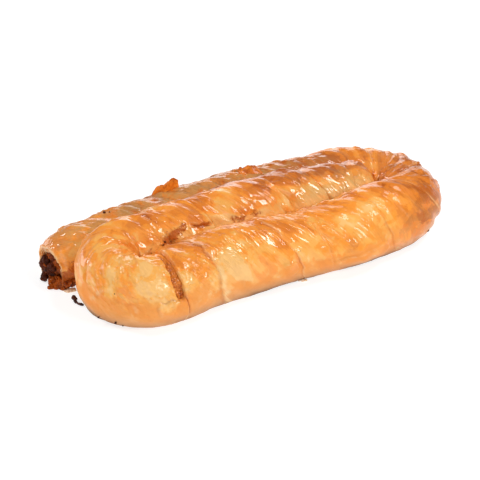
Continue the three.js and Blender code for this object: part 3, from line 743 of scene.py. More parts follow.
def rope_piece(sizes, rings, deeper):
    """One length of the rope. rings are lengths, deeper the depth at each ring and angle."""
    ring = np.broadcast_to(rings[:, None], (len(rings), len(SECTION)))
    angle = np.broadcast_to(SECTION, ring.shape)
    s, over = ring + skew(ring, angle), angle - TOP
    ring = wavering(ring, over)
    fine, edge, crinkle, crack = fine_relief(sizes, s, angle, ring)
    foot = sizes.foot_flare / MM * (0.6 + 0.7 * fractal(91, ring / FLARE_RAG, 0 * ring))
    for place, long, reach in FLARES:
        foot = foot + reach * hump(s - length_at(place), long / 2)
    points = skin(s, angle, ring, deeper, fine, np.clip(foot, 0, FLARE_MOST))
    up = points[..., 2]
    toast, damp, warp, mottle = baked(s, angle, ring, fine)
    edge, crack, toast = mark_lips(ring, angle, edge, crack, toast)
    line = np.interp(s, [length_at(place) for place in LOW_LINE[:, 0]], LOW_LINE[:, 1])
    under = np.clip(0.5 + (line + 7 * warp + 4 * mottle - up) / LOW_SOFT, 0, 1)
    low = under * smooth(np.cos(angle), -0.2, 0.3)
    # The crisp browned foot, darkened further as painted shade where it meets the floor, patchy along the
    # rope.
    crisp_shade_strength = 0.7 + 0.7 * noise(37, s / CRISP_AND_SHADE_LENGTH, 0 * s) + 0.5 * mottle
    crisp = hump(up, CRISP_AND_SHADE_HEIGHT) * np.clip(crisp_shade_strength, 0, 1)
    return points, {
        "toast": toast, "damp": damp, "edge": edge, "low": low, "crinkle": crinkle,
        "caramel": spread(CARAMEL, s, angle, 0.8 * warp), "crisp": crisp, "crack": crack,
        "dry": np.clip(spread(DRY, s, angle, warp), 0, 1),
        "along": leaning(s, over), "over": ROUND * over, "ring": ring,
    }


def add_rope(name, points, masks, material):
    """The mesh of one length of rope, with its masks and its own coordinates."""
    points, faces = tube(points)
    # the two points that close the ends have the last ring's values
    flat = {key: np.append(values.ravel(), [values.ravel()[-1]] * 2) for key, values in masks.items()}
    rope = np.stack([flat["along"], flat["over"], flat["ring"]], -1) * MM
    piece = add_mesh(name, points, faces, {"rope": rope, **{key: flat[key] for key in MASKS}})
    place_piece(piece, material, "pastry", "pastry")


# Materials

OIL_IOR = 1.45


def arithmetic(operation, swapped=False):
    """A method of Value that adds a maths node for it and what it is worked out with."""
    def apply(self, *others):
        operands = (*others, self) if swapped else (self, *others)
        return self.paint.node("ShaderNodeMath", {"operation": operation}, dict(enumerate(operands)))
    return apply


class Value:
    """A shader's socket that plain arithmetic works on."""

    def __init__(self, paint, socket):
        self.paint, self.socket = paint, socket

    __add__, __radd__ = arithmetic("ADD"), arithmetic("ADD", True)
    __sub__, __rsub__ = arithmetic("SUBTRACT"), arithmetic("SUBTRACT", True)
    __mul__, __rmul__ = arithmetic("MULTIPLY"), arithmetic("MULTIPLY", True)
    __pow__, __abs__ = arithmetic("POWER"), arithmetic("ABSOLUTE")

    def clamped(self):
        return self.paint.node("ShaderNodeClamp", {}, {0: self})


class Paint:
    """The nodes of one material."""

    def __init__(self, name):
        self.material = bpy.data.materials.new(name)
        self.material.use_nodes = True
        self.tree = self.material.node_tree
        self.tree.nodes.clear()

    def node(self, kind, settings, inputs, output=0):
        """Adds a node and gives one of its outputs. Inputs are values, constants or colours."""
        made = self.tree.nodes.new(kind)
        for key, value in settings.items():
            if key == "stops":
                self.set_stops(made.color_ramp.elements, value)
            else:
                setattr(made, key, value)
        for key, value in inputs.items():
            socket = made.inputs[key]
            if isinstance(value, Value):
                self.tree.links.new(value.socket, socket)
            elif socket.type == "RGBA":
                socket.default_value = (*value, 1)
            else:
                socket.default_value = value
        return Value(self, made.outputs[output]) if made.outputs else made

    def set_stops(self, elements, stops):
        while len(elements) < len(stops):
            elements.new(0.5)
        for element, (at, colour) in zip(elements, stops):
            element.position = at
            element.color = (*colour, 1)

    def mask(self, name):
        return self.node("ShaderNodeAttribute", {"attribute_name": name}, {}, 2)

    def rope(self, along, over):
        """The skin's own coordinates, in units of a size in metres along the rope and one round it."""
        at = self.node("ShaderNodeAttribute", {"attribute_name": "rope"}, {}, 1)
        inputs = {0: at, 1: (1 / along, 1 / over, 0)}
        return self.node("ShaderNodeVectorMath", {"operation": "MULTIPLY"}, inputs)

    def place(self, size):
        """Coordinates in space, in units of a size in metres."""
        at = self.node("ShaderNodeTexCoord", {}, {}, "Object")
        return self.node("ShaderNodeVectorMath", {"operation": "SCALE"}, {0: at, "Scale": 1 / size})

    def height(self):
        at = self.node("ShaderNodeTexCoord", {}, {}, "Object")
        return self.node("ShaderNodeSeparateXYZ", {}, {0: at}, 2)

    def noise(self, vector, detail=3, roughness=0.55, distortion=0.0):
        inputs = {"Vector": vector, "Scale": 1.0, "Detail": detail}
        inputs.update({"Roughness": roughness, "Distortion": distortion})
        return self.node("ShaderNodeTexNoise", {}, inputs)

    def between(self, value, low, high):
        """0 below low, 1 above high."""
        inputs = {"Value": value, "From Min": low, "From Max": high}
        return self.node("ShaderNodeMapRange", {"interpolation_type": "SMOOTHSTEP"}, inputs)

    def blend(self, share, first, second):
        return self.node("ShaderNodeMix", {"data_type": "RGBA"}, {0: share, 6: first, 7: second}, 2)

    def ramp(self, value, stops):
        """A colour for each value, from pairs of value and colour."""
        return self.node("ShaderNodeValToRGB", {"stops": stops}, {0: value})

    def bump(self, height, strength, distance):
        inputs = {"Height": height, "Strength": strength, "Distance": distance}
        return self.node("ShaderNodeBump", {}, inputs)

    def finish(self, shader):
        self.node("ShaderNodeOutputMaterial", {}, {0: self.node("ShaderNodeBsdfPrincipled", {}, shader)})
        return self.material


def crust_material(colours):
    """Filo pastry, glazed and baked: streaked along the wrinkles, browner where it stands up."""
    paint = Paint("glazed_crust")
    streak = paint.noise(paint.rope(0.0025, 0.018), 4, 0.6, 0.3)
    mottle = paint.noise(paint.place(0.007), 4, 0.6, 0.4)
    grain = paint.noise(paint.place(0.0011), 3, 0.6)
    patch = paint.between(paint.noise(paint.place(0.013), 5, 0.62, 0.7), 0.47, 0.53)
    fine = paint.noise(paint.rope(0.0011, 0.006), 2, 0.5)
    toast = paint.mask("toast") + (0.08 + 0.24 * paint.mask("crinkle")) * (streak - 0.5)
    toast = toast + 0.3 * (mottle - 0.5) + 0.14 * (patch - 0.5)
    toast = toast + 0.16 * (fine - 0.5) + 0.1 * (grain - 0.5)
    colour = paint.ramp(toast.clamped(), [
        (0.0, colours.dough), (0.16, colours.dough), (0.25, colours.golden), (0.34, colours.golden),
        (0.46, colours.amber), (0.56, colours.amber), (0.7, colours.toasted), (0.82, colours.toasted),
        (1.0, colours.burnished),
    ])
    damp = paint.mask("damp") * paint.between(mottle, 0.3, 0.6)
    colour = paint.blend((damp * 0.75).clamped(), colour, colours.damp_dough)
    low = paint.between(paint.mask("low") + 0.7 * (mottle - 0.5) + 0.12 * (patch - 0.5), 0.36, 0.62)
    colour = paint.blend(low * (0.55 + 0.3 * mottle), colour, colours.foot)
    lifted = paint.between(paint.height(), 0.002, 0.015)
    # Painted shade: the crust is darkened towards the floor, strongest below 2 mm and gone by 15 mm.
    colour = paint.blend(0.5 * (1 - lifted), colour, colours.foot_shade)
    # The crisp browned foot, darkened further as painted shade where it meets the floor.
    colour = paint.blend(paint.mask("crisp"), colour, colours.browned_foot_and_shade)
    # Painted shade in the cracks beside torn edges, creases and sheet edges, the deepest in the filling's
    # colour.
    colour = paint.blend(paint.between(paint.mask("crack"), 0.05, 0.6) * 0.8, colour, colours.burnished)
    colour = paint.blend(paint.between(paint.mask("crack"), 0.6, 1.0) * 0.6, colour, colours.filling)
    # Pale sheet edges, lightened further as a painted highlight where they catch the light.
    edge = paint.mask("edge") * paint.between(streak, 0.35, 0.6)
    colour = paint.blend((edge * 0.5).clamped(), colour, colours.pale_edge_and_highlight)
    stain = paint.noise(paint.place(0.0026), 4, 0.7, 0.5)
    caramel = paint.between(paint.mask("caramel") + 2 * (stain - 0.5) + 0.5 * (grain - 0.5), 0.3, 0.8)
    juice = paint.blend(paint.between(stain, 0.4, 0.6), colours.burnished, colours.caramel)
    colour = paint.blend(caramel * 0.92, colour, juice)
    oil = 0.55 + 0.45 * paint.between(paint.noise(paint.place(0.01), 2, 0.5), 0.35, 0.55)
    oil = oil * (1 - 0.75 * low) * (1 - 0.6 * caramel)
    oil = oil * (0.1 + 0.9 * lifted) * (1 - 0.85 * paint.mask("dry"))
    strands = (1 - abs(2 * paint.noise(paint.rope(0.0021, 0.015), 2, 0.5, 0.2) - 1)) ** 3
    film = 1 - abs(2 * paint.noise(paint.place(0.0028), 3, 0.65, 0.6) - 1)
    height = (0.06 + 0.8 * paint.mask("crinkle")) * (0.5 * strands + 0.5 * film)
    height = height + (0.06 + 0.7 * caramel) * grain
    return paint.finish({
        "Base Color": colour, "Roughness": 0.3 + 0.25 * paint.between(mottle, 0.35, 0.7) + 0.3 * low,
        "Coat Weight": oil, "Coat Roughness": 0.04, "Coat IOR": OIL_IOR, "IOR": OIL_IOR,
        "Specular IOR Level": 0.2, "Normal": paint.bump(height, 0.8, 0.0007),
    })


def filling_material(name, dark, light, grease):
    """Minced meat, its grains of different browns, with a share of grease."""
    paint = Paint(name)
    grain = paint.noise(paint.place(0.0012), 4, 0.65)
    lump = paint.noise(paint.place(0.004), 2, 0.5)
    mixed = paint.between(0.5 * grain + 0.5 * lump, 0.36, 0.62)
    return paint.finish({
        "Base Color": paint.blend(mixed, dark, light), "Roughness": 0.45 + 0.3 * grain,
        "Coat Weight": grease, "Coat Roughness": 0.05, "IOR": OIL_IOR,
        "Specular IOR Level": 0.1, "Normal": paint.bump(grain, 0.8, 0.0008),
    })


# Sizes and colours

def length(name, description, default):
    return bpy.props.FloatProperty(
        name=name, description=description, default=default,
        min=0.0, precision=5, unit="LENGTH", subtype="DISTANCE",
    )


def colour(name, description, default):
    return bpy.props.FloatVectorProperty(
        name=name, description=description, default=default, min=0.0, max=1.0, size=3, subtype="COLOR"
    )


class PieSizes(bpy.types.PropertyGroup):
    """Sizes of the pie's finer forms"""

    ring_step: length("Ring step", "Distance between two rings of the rope's mesh", 0.00054)
    wrinkle_depth: length("Wrinkle depth", "Height of the wrinkles that lean along the rope", 0.00012)
    ridge_height: length("Ridge height", "Height of the thin ridges between the wrinkles", 0.00045)
    lump_depth: length("Lump depth", "How far the filling lifts the crust here and there", 0.0006)
    blister_height: length("Blister height", "Height of the blisters in the top sheet", 0.0006)
    pleat_depth: length("Pleat depth", "Depth of the gathers on the inner side of the turns", 0.0007)
    fold_height: length("Fold height", "Height of the loose sheet edges between the main ones", 0.001)
    foot_flare: length("Foot flare", "How far the crisp foot stands out on the floor", 0.0006)
    floor_size: length("Floor size", "Side of the square floor", 6.0)


class PieColours(bpy.types.PropertyGroup):
    """Colours of the crust, the filling and the floor"""

    dough: colour("Dough", "Pale sheets that the oven hardly touched", (0.94, 0.52, 0.17))
    golden: colour("Golden", "Lightly baked crust", (0.95, 0.43, 0.085))
    amber: colour("Amber", "Evenly baked crust", (0.95, 0.31, 0.032))
    toasted: colour("Toasted", "Crust that the oven browned", (0.78, 0.215, 0.018))
    burnished: colour("Burnished", "Darkest crust", (0.50, 0.11, 0.008))
    damp_dough: colour("Damp dough", "Greasy dough between the runs", (0.565, 0.335, 0.108))
    foot: colour("Foot", "Crust low on the outer side", (0.86, 0.3, 0.062))
    # Painted shade on the crust just above the floor.
    foot_shade: colour("Foot, pale", "Dull crust just above the floor", (0.4, 0.27, 0.18))
    # The browned foot's edge on the floor, darkened further as painted shade.
    browned_foot_and_shade: colour("Foot edge", "Browned edge on the floor", (0.2, 0.1, 0.045))
    # Pale sheet edges, with a painted highlight where they catch the light; also the colour of the pale
    # crumbs.
    pale_edge_and_highlight: colour("Sheet edge", "Thin edges that catch the light", (0.95, 0.62, 0.30))
    caramel: colour("Caramel", "Dried juice of the filling", (0.43, 0.082, 0.003))
    filling: colour("Filling", "Minced filling in the split", (0.4, 0.08, 0.006))
    filling_light: colour("Filling, light", "Lighter grains of it", (0.76, 0.23, 0.028))
    char: colour("Char", "Burnt filling at the open end", (0.02, 0.004, 0.002))
    char_light: colour("Char, light", "Lighter grains of it", (0.12, 0.02, 0.004))
    crumb: colour("Pale crumb", "Dried dough smeared beside the crust", (0.93, 0.68, 0.5))
    floor: colour("Floor", "Pale floor", (0.45, 0.45, 0.45))


# Operators

class PIE_OT_crust(bpy.types.Operator):
    """Builds the two lengths of pastry rope: the outer one and the one that turns into the middle"""

    bl_idname = "pie.crust"
    bl_label = "Crust"

    # length and depth of the rings of the wall inside the mouth, and of the rings that close the seam
    MOUTH_WALL = [(22.0, 7.0), (4.0, 5.0)]
    SEAM_RINGS = [(-0.45, 0.1), (-0.3, 0.5), (-0.1, 1.4), (0.1, 3), (0.6, 5)]
    MOUTH_RINGS = 19
    SHEET_RINGS = 4
    MOUTH_WALL_THICK = 5.4
    MOUTH_SLOPE = 2.2  # mm that the inner sheets lie further in than the outer ones
    SHEET_RAG = 0.8
    SHEET_GAP = 1.5  # depth of the gaps between the sheets
    SPLIT_DEPTH = 5.0
    TUCKED = (-12.0, -4.0)  # rings of the inner rope under the outer one, from the seam
    TUCKED_LAST = -2.0
    SUNK = 1.4  # depth of the inner rope's skin beside the seam

    def execute(self, context):
        sizes = context.scene.pie_sizes
        material = crust_material(context.scene.pie_colours)
        step = sizes.ring_step / MM
        self.outer(sizes, material, step)
        self.inner(sizes, material, step)
        return {"FINISHED"}

    def mouth(self):
        """Rings of the open end, from the wall inside it out over its thin sheets, and where each lies."""
        rings = [skin(np.full(len(SECTION), at), SECTION, at, deep) for at, deep in self.MOUTH_WALL]
        shares, crests = [1.0] * len(rings), [0.0] * len(rings)
        for k in reversed(range(self.MOUTH_RINGS)):
            share, sheet = k / (self.MOUTH_RINGS - 1), k // self.SHEET_RINGS
            crest = 0.5 + 0.5 * math.cos(2 * math.pi * k / self.SHEET_RINGS)
            rag = self.SHEET_RAG * fractal(200 + sheet, 3 * SECTION, 0 * SECTION + 3 * sheet)
            at = self.SHEET_GAP * (1 - crest) - 0.5 + rag * (0.4 + crest) + self.MOUTH_SLOPE * share
            rings.append(skin(at, SECTION, at, 0.15 + self.MOUTH_WALL_THICK * share + 0.25 * rag))
            shares.append(share)
            crests.append(crest)
        return np.array(rings), np.array(shares)[:, None], np.array(crests)[:, None]

    def outer(self, sizes, material, step):
        closing, depths = np.array(self.SEAM_RINGS).T
        rings = np.concatenate([ring_steps(0, SEAM - 0.6, step), SEAM + closing])
        deeper = np.zeros((len(rings), len(SECTION)))
        deeper[-len(depths):] = depths[:, None]
        points, masks = rope_piece(sizes, rings, deeper)
        mouth, shares, crests = self.mouth()
        lead = len(mouth)
        for key, values in masks.items():
            masks[key] = np.vstack([np.repeat(values[:1], lead, axis=0), values])
        masks["toast"][:lead] = 0.5 + 0.35 * shares
        masks["damp"][:lead] = 0.5
        # The crests of the mouth's sheets get pale rims with painted highlight.
        masks["edge"][:lead] = 1.8 * crests ** 3
        masks["low"][:lead] = 0
        add_rope("outer_rope", np.concatenate([mouth, points]), masks, material)

    def inner(self, sizes, material, step):
        visible = ring_steps(SEAM + self.TUCKED_LAST, TOTAL, step)
        rings = np.concatenate([SEAM + np.array(self.TUCKED), visible])
        half = split_half(SECTION)
        rag = 0.25 * noise(9, np.degrees(SECTION) / 2.5, 0 * SECTION)
        off = np.abs(rings[:, None] - (SEAM + SPLIT_WIDTH / 2))
        gap = 1 - smooth(off - half - rag, -0.35, 0.1)
        deeper = self.SPLIT_DEPTH * (1 - smooth(rings, SEAM - 10, SEAM - 1.2))[:, None]
        deeper = deeper + self.SUNK * (1 - smooth(rings, SEAM, SEAM + 4))[:, None] * above_split(SECTION)
        deeper = np.maximum(deeper, self.SPLIT_DEPTH * gap * (half > 0.3))
        points, masks = rope_piece(sizes, rings, deeper)
        add_rope("inner_rope", points, masks, material)


def in_disc(random, middle, reach):
    """A spot in an upright ellipse: how far across and up it lies, and its share of the way to the rim."""
    turn, far = random.uniform(0, 2 * math.pi), math.sqrt(random.uniform(0, 1))
    side, up = far * math.cos(turn), far * math.sin(turn)
    return middle[0] + reach[0] * side, middle[1] + reach[1] * up, far


def at_mouth(side, out, up):
    """A point at the open end: across the rope, out of it and up."""
    x, y, ox, oy = (float(v) for v in centre(0.0))
    return x + ox * side - oy * out, y + oy * side + ox * out, up


class PIE_OT_filling(bpy.types.Operator):
    """Builds the filling: the burnt lumps and the spill at the open end, and the grains in the split"""

    bl_idname = "pie.filling"
    bl_label = "Filling"

    # how many lumps or grains each part has, and their smallest and largest radius
    BURNT = (60, 0.9, 2.2)
    ROW = (12, 0.9, 1.9)
    BROWNED = (90, 0.9, 1.9)
    SPILL = (260, 0.4, 1.15)
    DRIPS = (9, 0.5, 0.8)
    SIDE_SPILL = (190, 0.5, 1.1)
    SPLIT = (420, 0.5, 1.1)
    # middle and half sizes of the discs in the mouth that lumps fill, across the rope and up
    BURNT_DISC = ((3.9, 8.7), (6.6, 4.1))
    BROWNED_DISC = ((0.5, 11.2), (8.5, 6.4))
    BROWNED_OUT = (-3.4, -1.6)
    # across the rope, out of it and up, at the upper and the lower end of the row of burnt lumps
    ROW_ENDS = [(5.6, 1.0, 6.0), (4.0, 3.4, 2.2)]
    # across and out, at both ends of the wall that the spill leans on and of its rim on the floor
    SPILL_WALL = [(2.0, -0.6), (-11.0, -0.6)]
    SPILL_RIM = [(-4.6, 6.2), (-12.4, -0.6)]
    SPILL_HEIGHT = 7.0
    # from and to: across, out and up for the drips, and out and up for the spill beside the run
    DRIP_SPANS = [(2.2, 4.0), (2.0, 2.7), (6.5, 11.5)]
    SIDE_SPANS = [(-12.5, 0.5), (0.3, 6.5)]
    SPLIT_DEPTHS = (1.2, 2.4)

    def execute(self, context):
        colours = context.scene.pie_colours
        leaked = filling_material("leaked_filling", colours.char_light, colours.caramel, 0.15)
        burnt = filling_material("burnt_filling", colours.char, colours.char_light, 0.08)
        mince = filling_material("split_filling", colours.filling, colours.filling_light, 0.8)
        random = np.random.default_rng(5)
        self.add("burnt_filling", burnt, *grains(300, self.burnt_spots(random), 0.3, 3))
        self.add("leaked_filling", leaked, *grains(350, self.leaked_spots(random)))
        self.add("split_filling", mince, *grains(400, self.split_spots(), 0.2))
        return {"FINISHED"}

    def add(self, name, material, points, faces):
        place_piece(add_mesh(name, points, faces), material, "filling", "filling")

    def burnt_spots(self, random):
        """Centres and radii of the burnt lumps in the mouth and of the row that runs down from them."""
        count, least, most = self.BURNT
        spots = []
        for _ in range(count):
            side, up, far = in_disc(random, *self.BURNT_DISC)
            out = 3.4 * (1 - 0.8 * far ** 2) * random.uniform(0.3, 1.1) - 1.2
            spots.append((*at_mouth(side, out, up), random.uniform(least, most)))
        count, least, most = self.ROW
        for share in np.linspace(0, 1, count):
            middle = mix(*np.array(self.ROW_ENDS), share) + random.uniform(-0.6, 0.6, 3)
            spots.append((*at_mouth(*middle), mix(least, most, share)))
        return spots

    def leaked_spots(self, random):
        """Centres and radii of the browned filling behind the burnt lumps and of what has spilled out."""
        count, least, most = self.BROWNED
        spots = []
        for _ in range(count):
            side, up, _far = in_disc(random, *self.BROWNED_DISC)
            out = random.uniform(*self.BROWNED_OUT)
            spots.append((*at_mouth(side, out, up), random.uniform(least, most)))
        # the spill below the mouth, fanned out from its wall to its rim on the floor
        count, least, most = self.SPILL
        for _ in range(count):
            t, share = random.uniform(0, 1), random.uniform(0, 1) ** 0.8
            wall, rim = (mix(*np.array(ends), t) for ends in (self.SPILL_WALL, self.SPILL_RIM))
            side, out = mix(wall, rim, share)
            up = 0.4 + self.SPILL_HEIGHT * (1 - share) ** 1.2 * random.uniform(0.5, 1)
            spots.append((*at_mouth(side, out, up), random.uniform(least, most)))
        count, least, most = self.DRIPS
        for _ in range(count):
            side, out, up = (random.uniform(*span) for span in self.DRIP_SPANS)
            spots.append((*at_mouth(side, out, up), random.uniform(least, most)))
        # the spill along the inner side of the run
        count, least, most = self.SIDE_SPILL
        for _ in range(count):
            out, up = (random.uniform(*span) for span in self.SIDE_SPANS)
            side = -9.6 - 0.6 * up - random.uniform(0, 2.6)
            spots.append((*at_mouth(side, out, up), random.uniform(least, most)))
        return spots

    def split_spots(self):
        """Centres and radii of the grains that fill the split."""
        random = np.random.default_rng(6)
        count, least, most = self.SPLIT
        spots = []
        for _ in range(count):
            angle = math.radians(random.uniform(SPLIT_FROM + 4, SPLIT_TO - 4))
            half = max(float(split_half(angle)) - 0.2, 0.1)
            at = SEAM + SPLIT_WIDTH / 2 + random.uniform(-1, 1) * half
            deep = random.uniform(*self.SPLIT_DEPTHS)
            middle = skin(at + skew(at, angle), angle, at, deep)
            spots.append((*middle, random.uniform(least, most)))
        return spots


class PIE_OT_crumbs(bpy.types.Operator):
    """Builds the burnt bits, the crumbs and the burnt bead on its stalk"""

    bl_idname = "pie.crumbs"
    bl_label = "Crumbs"

    # place, angle, radius
    BURNT = [
        (0.202, 77, 0.75), (0.215, 84, 0.4), (3.258, 25, 0.3), (3.268, -36, 0.6), (3.24, -48, 0.4),
        (1.805, -24, 1.1), (1.78, -30, 0.7), (4.095, 148, 0.55), (4.085, 152, 0.45), (4.12, 150, 0.35),
        (4.4, 147, 0.45), (0.7, 75, 0.4), (3.37, -38, 0.5), (1.3, 150, 0.5),
    ]
    BROWN = [(4.38, 144, 0.5), (4.42, 146, 0.6), (4.15, 142, 0.5), (3.05, -50, 0.4)]
    # centre and radius of each crumb, the bead and its stalk
    PALE = [
        (-119.4, 13.2, 0.4, 1.2), (-118.0, 12.5, 0.5, 1.6), (-116.4, 12.0, 0.6, 1.8),
        (-114.8, 11.8, 0.6, 1.6), (11.8, -41.4, 0.9, 1.3), (13.4, -42.0, 0.8, 1.0), (9.8, -40.6, 0.6, 0.7),
    ]
    BEAD = [(-118.4, 1.4, 2.4, 1.3), (-117.7, 0.5, 1.9, 1.0)]
    STALK = [(-118.4, 0.2, 1.5), (-118.3, -1.6, 0.9), (-117.4, -3.8, 0.7), (-115.6, -5.8, 0.6)]
    STALK_BALLS = 15
    STALK_RADII = (0.8, 0.6)

    def execute(self, context):
        colours = context.scene.pie_colours
        burnt = filling_material("burnt_bits", colours.char, colours.char_light, 0.3)
        brown = filling_material("brown_crumbs", colours.filling, colours.toasted, 0.2)
        pale = filling_material("pale_crumbs", colours.pale_edge_and_highlight, colours.crumb, 0.0)
        self.add("burnt_bits", burnt, "filling", *grains(601, self.on_skin(self.BURNT), 0.35))
        self.add("brown_crumbs", brown, "filling", *grains(651, self.on_skin(self.BROWN), 0.35))
        self.add("pale_crumbs", pale, "pastry", *grains(640, self.PALE, 0.3, squash=0.5))
        self.add("burnt_bead", burnt, "filling", *grains(680, self.BEAD + self.stalk_spots()))
        return {"FINISHED"}

    def add(self, name, material, slot, points, faces):
        place_piece(add_mesh(name, points, faces), material, slot)

    def on_skin(self, bits):
        """Centres and radii of bits that stick to the skin."""
        spots = []
        for place, degrees, radius in bits:
            s, angle = length_at(place), math.radians(degrees)
            spots.append((*skin(s, angle, ring_through(s, angle), -0.3 * radius), radius))
        return spots

    def stalk_spots(self):
        steps = np.linspace(0, 1, len(self.STALK))
        spots = []
        for share in np.linspace(0, 1, self.STALK_BALLS):
            middle = [np.interp(share, steps, axis) for axis in np.transpose(self.STALK)]
            spots.append((*middle, mix(*self.STALK_RADII, share) * (1 + 0.2 * math.sin(9 * share))))
        return spots


class PIE_OT_flakes(bpy.types.Operator):
    """Builds the torn flakes that stand up on the back run"""

    bl_idname = "pie.flakes"
    bl_label = "Torn flakes"

    # name, place, angle, width, backward lean, turn, heights of the rim at even steps
    FLAKES = [
        ("back_flake", 0.418, 68, 18.5, 0.2, 0.1, [0.3, 2.4, 4.2, 4.8, 5.6, 6.6, 7.0, 4.4]),
        ("small_flake", 0.7, 104, 15.5, 1.2, 0.2, [2.6, 3.6, 4.0, 4.3, 4.7, 4.6, 1.2]),
    ]
    ACROSS = 48
    UP = 20
    THICK = 0.35
    ROOT_DEPTH = 1.5
    RIM_RAG = 0.5
    WAVE = 0.6
    CREASE = 0.8

    def execute(self, context):
        material = crust_material(context.scene.pie_colours)
        for k, flake in enumerate(self.FLAKES):
            self.flake(k, material, *flake)
        return {"FINISHED"}

    def flake(self, k, material, name, place, degrees, wide, lean, turn, rim):
        steps = [np.linspace(0, 1, count + 1) for count in (self.ACROSS, self.UP)]
        share, rise = np.meshgrid(*steps, indexing="ij")
        ragged = self.RIM_RAG * fractal(500 + k, share * 14, 0 * share)
        top = np.interp(share, np.linspace(0, 1, len(rim)), rim) + ragged
        high = mix(-self.ROOT_DEPTH, top, rise)
        s = length_at(place) + (share - 0.5) * wide
        angle = math.radians(degrees) + turn * (share - 0.5)
        root = skin(s, angle, ring_through(s, angle))
        wave = self.WAVE * np.sin(share * 6) * rise
        crease = self.CREASE * fractal(510 + k, share * 6, rise * 3) * (0.3 + rise)
        back = lean * np.maximum(high, 0) + (wave + crease)
        sheets = []
        for side in (-1, 1):
            offset = [0 * high, back + side * self.THICK / 2, high * (1 - 0.2 * lean)]
            sheets.append((root + np.stack(offset, -1)).reshape(-1, 3))
        toast = 0.62 + 0.14 * k + 0.2 * rise + 0.35 * fractal(520 + k, share * 6, rise * 3)
        rope = np.stack([s, ROUND * angle + 4 * rise, s], -1).reshape(-1, 3)
        zero = np.zeros(2 * rise.size)
        masks = {"rope": np.tile(rope, (2, 1)) * MM, **{key: zero for key in MASKS}}
        masks.update({"toast": np.tile(toast.ravel(), 2), "dry": zero + 0.6})
        place_piece(add_mesh(name, np.vstack(sheets), self.faces(), masks), material, "pastry")

    def faces(self):
        """Faces of two sheets back to back, joined along their border."""
        n, m = self.ACROSS + 1, self.UP + 1
        at = lambda i, j, sheet: sheet * n * m + i * m + j
        faces = []
        for i in range(n - 1):
            for j in range(m - 1):
                faces.append((at(i, j, 0), at(i + 1, j, 0), at(i + 1, j + 1, 0), at(i, j + 1, 0)))
                faces.append((at(i, j, 1), at(i, j + 1, 1), at(i + 1, j + 1, 1), at(i + 1, j, 1)))
        border = [(i, 0) for i in range(n - 1)] + [(n - 1, j) for j in range(m - 1)]
        border += [(i, m - 1) for i in range(n - 1, 0, -1)] + [(0, j) for j in range(m - 1, 0, -1)]
        for (i, j), (p, r) in zip(border, border[1:] + border[:1]):
            faces.append((at(i, j, 0), at(i, j, 1), at(p, r, 1), at(p, r, 0)))
        return faces


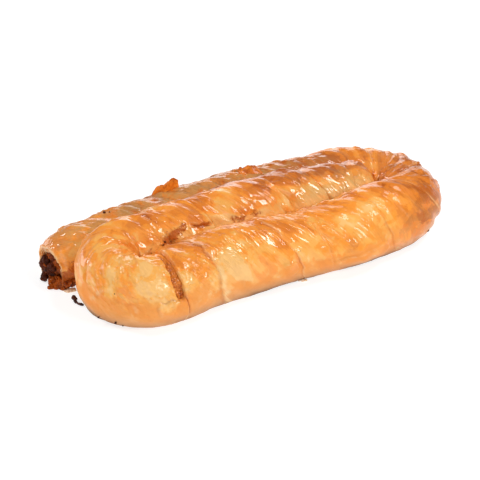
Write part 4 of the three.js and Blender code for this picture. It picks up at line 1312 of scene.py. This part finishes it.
class PIE_OT_stage(bpy.types.Operator):
    """Builds the floor, the lights and the camera"""

    bl_idname = "pie.stage"
    bl_label = "Stage"

    AZIMUTH = -27.0
    ELEVATION = 31.9
    DISTANCE = 0.8
    AIM = (-0.0059, 0.0058, 0.0)
    SENSOR = 36
    LENS = 96
    SHIFT = (-0.0019, 0.0237)
    SEEN = (0.05, 20)  # nearest and furthest distance
    FLOOR_DROP = 0.2
    FLOOR_GLOW = 0.72
    SKY = 0.2
    # name, direction, distance, side of the square, power
    LIGHTS = [
        ("key_light", (0.38, -0.71, 0.62), 1.1, 0.26, 4.4),
        ("top_light", (0.43, -0.2, 0.88), 1.1, 0.26, 3.4),
        ("side_light", (-0.62, 0.3, 0.72), 1.1, 0.2, 2.8),
        ("front_light", (-0.78, -0.58, 0.4), 1.3, 0.9, 3.8),
        ("back_light", (0.36, 0.86, 0.32), 1.2, 0.6, 2.8),
        ("rim_light", (-0.6, 0.74, 0.3), 1.2, 0.36, 1.8),
    ]

    def execute(self, context):
        self.camera(context.scene)
        self.floor(context.scene)
        self.lights(context.scene)
        context.scene.view_settings.view_transform = "Standard"
        return {"FINISHED"}

    def camera(self, scene):
        az, el = math.radians(self.AZIMUTH), math.radians(self.ELEVATION)
        back = Vector((math.sin(az) * math.cos(el), -math.cos(az) * math.cos(el), math.sin(el)))
        right = Vector((math.cos(az), math.sin(az), 0))
        data = bpy.data.cameras.new("camera")
        data.sensor_width, data.lens = self.SENSOR, self.LENS
        data.shift_x, data.shift_y = self.SHIFT
        data.clip_start, data.clip_end = self.SEEN
        camera = bpy.data.objects.new("camera", data)
        turn = Matrix((right, back.cross(right), back)).transposed().to_4x4()
        camera.matrix_world = Matrix.Translation(Vector(self.AIM) + back * self.DISTANCE) @ turn
        scene.collection.objects.link(camera)
        scene.camera = camera

    def floor(self, scene):
        half = scene.pie_sizes.floor_size / 2 / MM
        corners = [(x * half, y * half, -self.FLOOR_DROP) for x, y in ((-1, -1), (1, -1), (1, 1), (-1, 1))]
        floor = add_mesh("floor", corners, [(0, 1, 2, 3)])
        floor.data.materials.append(Paint("pale_floor").finish({
            "Base Color": scene.pie_colours.floor, "Roughness": 0.9, "Specular IOR Level": 0.0,
            "Emission Color": (1, 1, 1), "Emission Strength": self.FLOOR_GLOW,
        }))

    def lights(self, scene):
        scene.world = bpy.data.worlds.new("studio")
        scene.world.use_nodes = True
        background = scene.world.node_tree.nodes["Background"]
        background.inputs["Color"].default_value = (1, 1, 1, 1)
        background.inputs["Strength"].default_value = self.SKY
        for name, direction, distance, size, power in self.LIGHTS:
            data = bpy.data.lights.new(name, "AREA")
            data.shape, data.size, data.energy = "SQUARE", size, power
            light = bpy.data.objects.new(name, data)
            towards = Vector(direction).normalized()
            light.location = towards * distance
            light.rotation_euler = towards.to_track_quat("Z", "Y").to_euler()
            light.visible_camera = False
            scene.collection.objects.link(light)


class PIE_PT_panel(bpy.types.Panel):
    """Lists the pie's pieces, sizes and colours"""

    bl_idname = "PIE_PT_panel"
    bl_label = "Coiled Meat Pie"
    bl_space_type = "VIEW_3D"
    bl_region_type = "UI"
    bl_category = "Pie"

    def draw(self, context):
        for kind in PIECES:
            self.layout.operator(kind.bl_idname)
        for group in (context.scene.pie_sizes, context.scene.pie_colours):
            for name in group.__annotations__:
                self.layout.prop(group, name)


PIECES = (PIE_OT_crust, PIE_OT_filling, PIE_OT_crumbs, PIE_OT_flakes, PIE_OT_stage)
CLASSES = (PieSizes, PieColours, *PIECES, PIE_PT_panel)


def register():
    for kind in CLASSES:
        bpy.utils.register_class(kind)
    bpy.types.Scene.pie_sizes = bpy.props.PointerProperty(type=PieSizes)
    bpy.types.Scene.pie_colours = bpy.props.PointerProperty(type=PieColours)


def unregister():
    del bpy.types.Scene.pie_sizes
    del bpy.types.Scene.pie_colours
    for kind in reversed(CLASSES):
        bpy.utils.unregister_class(kind)


def main():
    register()
    bpy.ops.pie.crust()
    bpy.ops.pie.filling()
    bpy.ops.pie.crumbs()
    bpy.ops.pie.flakes()
    bpy.ops.pie.stage()


if __name__ == "__main__":
    main()
